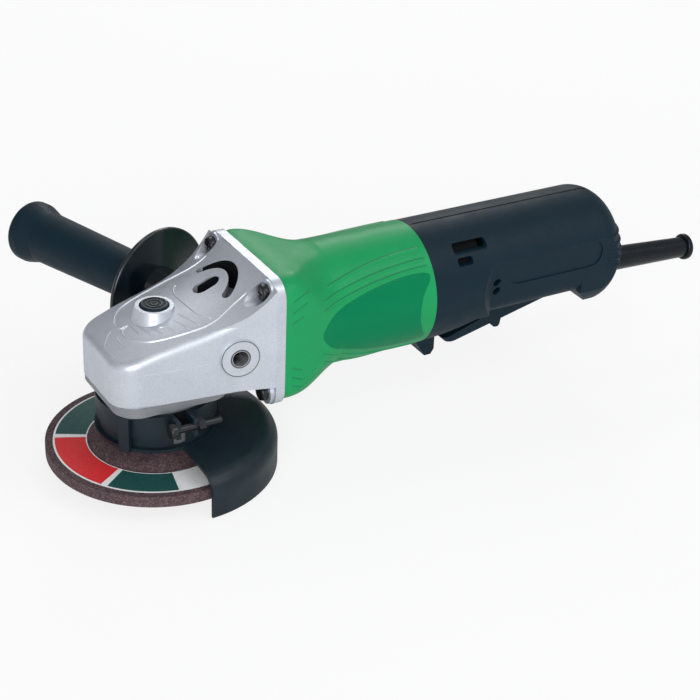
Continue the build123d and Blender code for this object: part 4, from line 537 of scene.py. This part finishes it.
def vent_shade(name, inner, outer, ground):
    """A near-black floor between two lines, and a wall on the outer one up to the roof at its ground line,
    as painted shade.
    """
    shape = bmesh.new()
    rows = []
    for a, b, g in zip(inner, outer, ground):
        roof = on_surface(case, Vector((*g, CASE_TOP)) * MM, UPWARD, FAR_REACH)
        top = max(roof.z / MM - VENT_LIP, VENT_FLOOR_Z + VENT_LEAST)
        row = ((*a, VENT_FLOOR_Z), (*b, VENT_FLOOR_Z), (*b, top))
        rows.append([shape.verts.new(Vector(p) * MM) for p in row])
    for a, b in zip(rows, rows[1:]):
        for k in range(2):
            shape.faces.new((a[k], a[k + 1], b[k + 1], b[k]))
    return finished(name, shape, "housing", "joint_shadow", 40.0)


def crescent_line(radius):
    """An arc along the crescent."""
    turns = [math.radians(CRESCENT_HALF_ANGLE * (i / 24 - 1)) for i in range(49)]
    return [(CRESCENT_X + radius * math.cos(a), radius * math.sin(a)) for a in turns]


def oval_line(grow):
    """The oval's rim from its near side round the back to its far side."""
    turns = [math.radians(i * 7.5 - 90) for i in range(25)]
    reach = OVAL_HALF_W + grow
    middle = OVAL_X + OVAL_HALF_L - OVAL_HALF_W
    bend = [(middle + reach * math.cos(a), reach * math.sin(a)) for a in turns]
    front = OVAL_X - OVAL_HALF_L + OVAL_HALF_W
    return [(front, -reach)] + bend + [(front, reach)]


crescent_out = CRESCENT_R + CRESCENT_W / 2
vent_shade(
    "vent_liner_crescent",
    crescent_line(CRESCENT_R - CRESCENT_W / 2 + VENT_SKIN),
    crescent_line(crescent_out - VENT_SKIN),
    crescent_line(crescent_out + VENT_LIP),
)
vent_shade(
    "vent_liner_oval",
    [(OVAL_X, 0.0)] * len(oval_line(0.0)),
    oval_line(-VENT_SKIN),
    oval_line(VENT_LIP),
)


# Raised bands, marks and side panel on the motor housing, alike on both sides, with a painted shade line
# along one edge of each band and mark
barrel = search_tree("motor_housing")
BANDS = (                 # width, from x, to x, angles above the motor axis at both ends
    (2.2, 84.0, 144.0, 39.5, 57.5),
    (2.2, 79.5, 144.5, 28.0, 46.0),
    (2.0, 78.0, 144.5, 20.0, 39.0),
    (1.8, 77.5, 142.0, -17.0, -51.5),
    (1.8, 78.0, 140.0, -24.0, -67.0),
)
BAND_POINTS = 7
BAND_REACH = 36.0         # path of a band from the motor axis
BAND_H = 0.6
UPPER_MARKS = ((93.0, 13.0), (87.0, 9.5), (81.0, 7.0))     # height and length
LOWER_MARKS = ((56.5, 7.0), (51.0, 7.5), (46.0, 7.5))
MARK_X = 57.5
MARK_Y = 39.0
MARK_W = 1.0
MARK_H = 0.5
MARK_SLOPE = 0.5
EDGE_SECTION = (0.45, 0.1)              # painted shade line along a band's edge
EDGE_SINK = 0.02
PANEL = (
    (77.5, 70.0), (85.0, 78.0), (103.0, 84.0), (125.0, 87.5), (141.5, 87.5), (144.5, 84.5),
    (139.0, 76.0), (137.5, 65.0), (140.5, 55.5), (144.0, 49.0), (136.0, 46.5), (112.0, 49.0),
    (88.0, 57.0), (79.0, 64.5),
)
PANEL_MIDDLE = Vector((112, 0, 67.5))
PANEL_STEP = 1.6
PANEL_RIM = ((1.0, -0.12), (0.992, 0.1), (0.98, 0.2), (0.965, 0.24))     # share of the outline, rise
PANEL_FIELD = 0.95
PANEL_RINGS = 16
PANEL_RISE = 0.25
PANEL_CAST_Y = 60.0       # rays start here, beside the barrel


def band_path(side, start, end, low, high):
    """Points over the barrel that leave the flare steeply and end along the axis."""
    path = []
    for i in range(BAND_POINTS):
        t = i / (BAND_POINTS - 1)
        a = math.radians(high + (low - high) * (1 - t) ** 2)
        path.append((
            start + (end - start) * t, side * BAND_REACH * math.cos(a), MOTOR_Z + BAND_REACH * math.sin(a),
        ))
    return path


def mark_path(side, height, length, slope):
    """A short straight run on the flat of the flare."""
    return [(MARK_X + length * t, side * MARK_Y, height + slope * length * t) for t in (0.0, 0.5, 1.0)]


def side_panel(name, side):
    """A smooth inlay on the side of the barrel, with a rounded rim."""
    outline = smooth_path([(x, 0, z) for x, z in PANEL + PANEL[:1]], PANEL_STEP)[:-1]
    field = [(PANEL_FIELD * (1 - i / PANEL_RINGS), PANEL_RISE) for i in range(PANEL_RINGS)]
    shape = bmesh.new()
    rings = []
    for scale, rise in list(PANEL_RIM) + field:
        ring = []
        for p in outline:
            q = (PANEL_MIDDLE + (p - PANEL_MIDDLE) * scale) * MM
            start = Vector((q.x, side * PANEL_CAST_Y * MM, q.z))
            spot, _, _, _ = barrel.ray_cast(start, Vector((0, -side, 0)))
            ring.append(shape.verts.new(spot + outward(spot) * rise * MM))
        rings.append(ring)
    count = len(outline)
    for a, b in zip(rings, rings[1:]):
        for i in range(count):
            j = (i + 1) % count
            shape.faces.new((a[i], a[j], b[j], b[i]))
    shape.faces.new(rings[-1])
    return finished(name, shape, "housing", "green_panel", 60.0)


for side, word in ((-1, "near"), (1, "far")):
    paths = [(width, band_path(side, *run)) for width, *run in BANDS]
    paths += [(MARK_W, mark_path(side, *run, MARK_SLOPE)) for run in UPPER_MARKS]
    paths += [(MARK_W, mark_path(side, *run, -MARK_SLOPE)) for run in LOWER_MARKS]
    for i, (width, path) in enumerate(paths):
        height = BAND_H if width > MARK_W else MARK_H
        ridge(
            "barrel_band_%s_%d" % (word, i), barrel, path, outward,
            width, height, "housing", "green_plastic",
        )
        # A dark green line beside each band and mark, as painted shade along its edge
        ridge(
            "barrel_edge_shade_%s_%d" % (word, i), barrel, path, outward,
            *EDGE_SECTION, "housing", "green_line", sink=EDGE_SINK, aside=side * width / 2,
        )
    side_panel("barrel_panel_" + word, side)


# Paper label on the wheel: plain sectors
LABEL_Z = 10.4
LABEL_IN = 36.0
LABEL_OUT = 53.5
LABEL_SPAN = (-0.05, 0.1)               # underside and top, from the wheel's face
SECTOR_SPAN = (0.05, 0.16)
SECTOR_INSET = 0.6        # bare paper inside and outside the sectors
SECTOR_OUTSET = 1.0
TURN_STEP = 2.5           # degrees between points on a ring


def ring_plate(name, start, end, inside, outside, low, high, slot, body="spindle"):
    """A thin plate between two radii and two angles."""
    shape = bmesh.new()
    full = end - start >= 360
    count = max(3, round((end - start) / TURN_STEP))
    loops = []
    turns = count if full else count + 1
    middle = (inside + outside) / 2
    profile = ((inside, low), (inside, high), (middle, high), (outside, high), (outside, low))
    for i in range(turns):
        a = math.radians(start + (end - start) * i / count)
        across, along = math.cos(a), math.sin(a)
        loops.append([shape.verts.new(Vector((r * across, r * along, z)) * MM) for r, z in profile])
    pairs = list(zip(loops, loops[1:]))
    if full:
        pairs.append((loops[-1], loops[0]))
    for a, b in pairs:
        for k in range(len(profile) - 1):
            shape.faces.new((a[k], a[k + 1], b[k + 1], b[k]))
    if not full:
        shape.faces.new(loops[0])
        shape.faces.new(list(reversed(loops[-1])))
    return finished(name, shape, body, slot, 30.0)


low, high = (LABEL_Z + z for z in LABEL_SPAN)
ring_plate("label_ground", 0, 360, LABEL_IN, LABEL_OUT, low, high, "label_white")
SECTORS = (
    (100, 152, "label_green"),
    (156, 214, "label_red"),
    (218, 258, "label_green"),
    (284, 332, "label_red"),
    (336, 384, "label_green"),
    (410, 456, "label_red"),
)
low, high = (LABEL_Z + z for z in SECTOR_SPAN)
for i, (start, end, slot) in enumerate(SECTORS):
    ring_plate(
        "label_sector_%d" % i, start, end, LABEL_IN + SECTOR_INSET, LABEL_OUT - SECTOR_OUTSET,
        low, high, slot,
    )


# Painted shade: a dark strip behind the slit of the guard's collar
band = nodes["guard_band"]
SLIT_TOP = max((band.matrix_world @ v.co).z for v in band.data.vertices) / MM
SLIT_H = 12.0
SLIT_TURN = (-100, -80)
SLIT_SHADE_RADII = (28.05, 28.2)
ring_plate("collar_slit_shade", *SLIT_TURN, *SLIT_SHADE_RADII, SLIT_TOP - SLIT_H, SLIT_TOP, "joint_shadow", "guard")


# Turned rim on the lock button's boss
BOSS_RIM_RADII = (8.3, 9.2)
BOSS_RIM_SPAN = (87.3 - 0.2, 87.3 + 0.15)
ring_plate("boss_rim", 0, 360, *BOSS_RIM_RADII, *BOSS_RIM_SPAN, "cast_aluminium", "housing")


# Moulded rings on the lock button
BUTTON_RINGS = ((1.2, 2.0), (3.6, 4.3), (5.9, 6.6))
BUTTON_SPAN = (88.2 - 0.1, 88.2 + 0.25)
for i, radii in enumerate(BUTTON_RINGS):
    ring_plate("button_ring_%d" % i, 0, 360, *radii, *BUTTON_SPAN, "black_screws", "lock")


# Painted shade: a dark sleeve round the brush frame, behind the cooling slots
SLEEVE = (                # radius and x of the tube's outline, with a lip over the frame's end
    (29.25, 153.0), (29.5, 153.0), (29.5, 180.5), (22.0, 180.5), (22.0, 180.3), (29.25, 180.3),
)
SLEEVE_FROM = -8
SLEEVE_TURN = 196
SLEEVE_STEPS = 60


def frame_shade_sleeve():
    """The upper part of a thin near-black tube round the motor axis, painted shade behind the cooling
    slots.
    """
    shape = bmesh.new()
    rows = []
    for i in range(SLEEVE_STEPS + 1):
        a = math.radians(SLEEVE_FROM + SLEEVE_TURN * i / SLEEVE_STEPS)
        away = Vector((0, math.cos(a), math.sin(a)))
        rows.append([
            shape.verts.new(MOTOR_AXIS + (away * r + Vector((x, 0, 0))) * MM)
            for r, x in SLEEVE
        ])
    for a, b in zip(rows, rows[1:]):
        for k in range(len(SLEEVE)):
            j = (k + 1) % len(SLEEVE)
            shape.faces.new((a[k], a[j], b[j], b[k]))
    shape.faces.new(rows[0])
    shape.faces.new(list(reversed(rows[-1])))
    return finished("frame_shade_sleeve", shape, "housing", "joint_shadow", 40.0)


frame_shade_sleeve()


# Seam along the top of the tail
tail = search_tree("handle_cover_left", "handle_cover_right")
TAIL_TOP = 101.8
SEAM_SECTION = (1.3, 0.14)
seam = [(x, 0.0, TAIL_TOP) for x in range(148, 272, 8)]
ridge(
    "tail_seam", tail, seam, upward, *SEAM_SECTION, "housing", "joint_shadow",
    step=2.0, sink=FINE_SINK,
)


# Bars between the louvres, round both rear corners of the tail
LOUVRE_LOW = MOTOR_Z - 5.5
LOUVRE_PITCH = 4.6
LOUVRE_BARS = 5
CORNER_X = 256.0
CORNER_Y = 8.0
CORNER_REACH = 25.0
LOUVRE_SECTION = (2.1, 1.0)


def louvre_bar(name, side, height):
    """A bar that follows the tail's side round into its rear face."""
    middle = Vector((CORNER_X, side * CORNER_Y, height)) * MM

    def from_corner(point):
        away = point - middle
        away.z = 0
        return away.normalized()

    path = []
    for degrees in range(12, 80, 8):
        a = math.radians(degrees)
        x = CORNER_X + CORNER_REACH * math.cos(a)
        y = side * (CORNER_Y + CORNER_REACH * math.sin(a))
        path.append((x, y, height))
    ridge(name, tail, path, from_corner, *LOUVRE_SECTION, "housing", "black_plastic")


for side, word in ((-1, "near"), (1, "far")):
    for i in range(LOUVRE_BARS):
        louvre_bar("louvre_bar_%s_%d" % (word, i), side, LOUVRE_LOW + (i + 0.5) * LOUVRE_PITCH)


# Thread, liner, rim and edge line of the empty handle socket: darkened metal and a near-black liner as
# painted shade in the deep hole, and a dark edge line as painted shade round the boss's face
SOCKET = Vector((30.5, -36.0, 67.0)) * MM
TILT = math.radians(8.0)
SOCKET_OUT = Vector((-math.sin(TILT), -math.cos(TILT), 0))
SOCKET_FIRST = SOCKET_OUT.cross(UPWARD).normalized()
SOCKET_SECOND = SOCKET_OUT.cross(SOCKET_FIRST).normalized()
SOCKET_SIDES = 48
SOCKET_EDGE_SHADE = ((9.65, 0.05), (9.7, -0.06), (10.1, -0.06), (10.2, 0.05))  # radii and depths
SOCKET_HOLE_SHADE = ((4.2, 0.5), (4.12, 0.9), (4.12, 13.4))
SOCKET_RIM = ((4.1, 0.7), (4.3, 0.1), (4.7, -0.14), (5.2, -0.14), (5.4, 0.06))
THREAD_WALL = 4.25
THREAD_CREST = 3.75
THREAD_LAP = 0.1          # foot of the thread inside the wall
THREAD_PITCH = 1.5
THREAD_TURNS = 7
THREAD_SIDES = 36
THREAD_START = 0.8


def socket_turned(name, profile, slot, capped=False):
    """A turned piece on the socket's axis, from radii and depths."""
    shape = bmesh.new()
    rows = []
    for i in range(SOCKET_SIDES):
        a = 2 * math.pi * i / SOCKET_SIDES
        away = SOCKET_FIRST * math.cos(a) + SOCKET_SECOND * math.sin(a)
        rows.append([shape.verts.new(SOCKET + (away * r - SOCKET_OUT * d) * MM) for r, d in profile])
    for a, b in zip(rows, rows[1:] + rows[:1]):
        for k in range(len(profile) - 1):
            shape.faces.new((a[k], a[k + 1], b[k + 1], b[k]))
    if capped:
        shape.faces.new([row[-1] for row in rows])
    return finished(name, shape, "housing", slot, 40.0)


def socket_thread():
    """A spiral crest on the wall of the tapped hole."""
    shape = bmesh.new()
    rows = []
    foot = THREAD_WALL - THREAD_LAP
    section = ((foot, -0.55), (THREAD_CREST, -0.1), (THREAD_CREST, 0.1), (foot, 0.55))
    for i in range(THREAD_TURNS * THREAD_SIDES + 1):
        a = 2 * math.pi * i / THREAD_SIDES
        away = SOCKET_FIRST * math.cos(a) + SOCKET_SECOND * math.sin(a)
        depth = THREAD_START + THREAD_PITCH * i / THREAD_SIDES
        row = []
        for r, d in section:
            row.append(shape.verts.new(SOCKET + (away * r - SOCKET_OUT * (depth + d)) * MM))
        rows.append(row)
    for a, b in zip(rows, rows[1:]):
        for k in range(3):
            shape.faces.new((a[k], a[k + 1], b[k + 1], b[k]))
    shape.faces.new(rows[0])
    shape.faces.new(list(reversed(rows[-1])))
    return finished("socket_thread", shape, "housing", "socket_shade_metal", 40.0)


socket_thread()
# A dark ring at the boss's edge, painted shade round its face
socket_turned("socket_edge_shade", SOCKET_EDGE_SHADE, "socket_shade_metal")
# A near-black liner, painted shade inside the deep hole
socket_turned("socket_hole_shade", SOCKET_HOLE_SHADE, "joint_shadow", True)
socket_turned("socket_rim", SOCKET_RIM, "socket_shade_metal")


# Stage: pale floor and soft studio light
floor_mesh = bpy.data.meshes.new("floor")
FLOOR_HALF = 6.0
FLOOR_GAP = 0.0004
FLOOR_PAINT = (0.92, 0.92, 0.92, 1.0)
FLOOR_GLOW = 0.8          # share of plain white that the camera sees
ROOM_TINT = (0.97, 0.98, 1.0, 1.0)
ROOM_FRONT = 0.76         # light from the front and from the back
ROOM_BACK = 0.2
WHITE = (1.0, 1.0, 1.0, 1.0)
floor_z = cad_box[0][2] - FLOOR_GAP
floor_mesh.from_pydata(
    [
        (-FLOOR_HALF, -FLOOR_HALF, floor_z), (FLOOR_HALF, -FLOOR_HALF, floor_z),
        (FLOOR_HALF, FLOOR_HALF, floor_z), (-FLOOR_HALF, FLOOR_HALF, floor_z),
    ],
    [],
    [(0, 1, 2, 3)],
)
floor = bpy.data.objects.new("floor", floor_mesh)
scene.collection.objects.link(floor)
floor_paint = bpy.data.materials.new("floor")
floor_paint.use_nodes = True
tree = floor_paint.node_tree
tree.nodes.clear()
out = tree.nodes.new("ShaderNodeOutputMaterial")
matt = tree.nodes.new("ShaderNodeBsdfDiffuse")
matt.inputs["Color"].default_value = FLOOR_PAINT
glow = tree.nodes.new("ShaderNodeEmission")
glow.inputs["Color"].default_value = WHITE
glow.inputs["Strength"].default_value = 1.0
seen = tree.nodes.new("ShaderNodeLightPath")
share = tree.nodes.new("ShaderNodeMath")
share.operation = "MULTIPLY"
share.inputs[1].default_value = FLOOR_GLOW
tree.links.new(seen.outputs["Is Camera Ray"], share.inputs[0])
both = tree.nodes.new("ShaderNodeMixShader")
tree.links.new(share.outputs["Value"], both.inputs["Fac"])
tree.links.new(matt.outputs["BSDF"], both.inputs[1])
tree.links.new(glow.outputs["Emission"], both.inputs[2])
tree.links.new(both.outputs["Shader"], out.inputs["Surface"])
floor_mesh.materials.append(floor_paint)

world = bpy.data.worlds.new("studio")
scene.world = world
world.use_nodes = True
tree = world.node_tree
tree.nodes.clear()
out = tree.nodes.new("ShaderNodeOutputWorld")
room = tree.nodes.new("ShaderNodeBackground")
room.inputs["Color"].default_value = ROOM_TINT
heading = tree.nodes.new("ShaderNodeTexCoord")
axes = tree.nodes.new("ShaderNodeSeparateXYZ")
tree.links.new(heading.outputs["Generated"], axes.inputs["Vector"])
level = tree.nodes.new("ShaderNodeMapRange")
level.inputs["From Min"].default_value = -1.0
level.inputs["From Max"].default_value = 1.0
level.inputs["To Min"].default_value = ROOM_FRONT
level.inputs["To Max"].default_value = ROOM_BACK
tree.links.new(axes.outputs["Y"], level.inputs["Value"])
tree.links.new(level.outputs["Result"], room.inputs["Strength"])
white = tree.nodes.new("ShaderNodeBackground")
white.inputs["Color"].default_value = WHITE
white.inputs["Strength"].default_value = 1.0
seen = tree.nodes.new("ShaderNodeLightPath")
both = tree.nodes.new("ShaderNodeMixShader")
tree.links.new(seen.outputs["Is Camera Ray"], both.inputs["Fac"])
tree.links.new(room.outputs["Background"], both.inputs[1])
tree.links.new(white.outputs["Background"], both.inputs[2])
tree.links.new(both.outputs["Shader"], out.inputs["Surface"])


def softbox(name, place, aim, size, watts):
    """A square lamp that faces a point."""
    data = bpy.data.lights.new(name, "AREA")
    data.shape = "RECTANGLE"
    data.size = size[0]
    data.size_y = size[1]
    data.energy = watts
    lamp = bpy.data.objects.new(name, data)
    scene.collection.objects.link(lamp)
    lamp.location = place
    lamp.rotation_euler = (Vector(aim) - Vector(place)).to_track_quat("-Z", "Y").to_euler()


LAMPS = (                 # name, place, aim, size and watts
    ("key", (-0.95, -1.6, 0.75), (0.08, 0.0, 0.05), (1.2, 1.0), 20.0),
    ("edge", (0.85, -0.95, 1.5), (0.05, 0.0, 0.07), (1.3, 0.6), 6.5),
    ("overhead", (0.4, 0.9, 1.3), (0.12, 0.0, 0.07), (1.2, 0.5), 2.5),
    ("rim", (0.86, 1.2, 0.86), (0.16, 0.0, 0.08), (0.5, 0.3), 4.0),
)
for lamp_values in LAMPS:
    softbox(*lamp_values)

scene.view_settings.view_transform = "Standard"
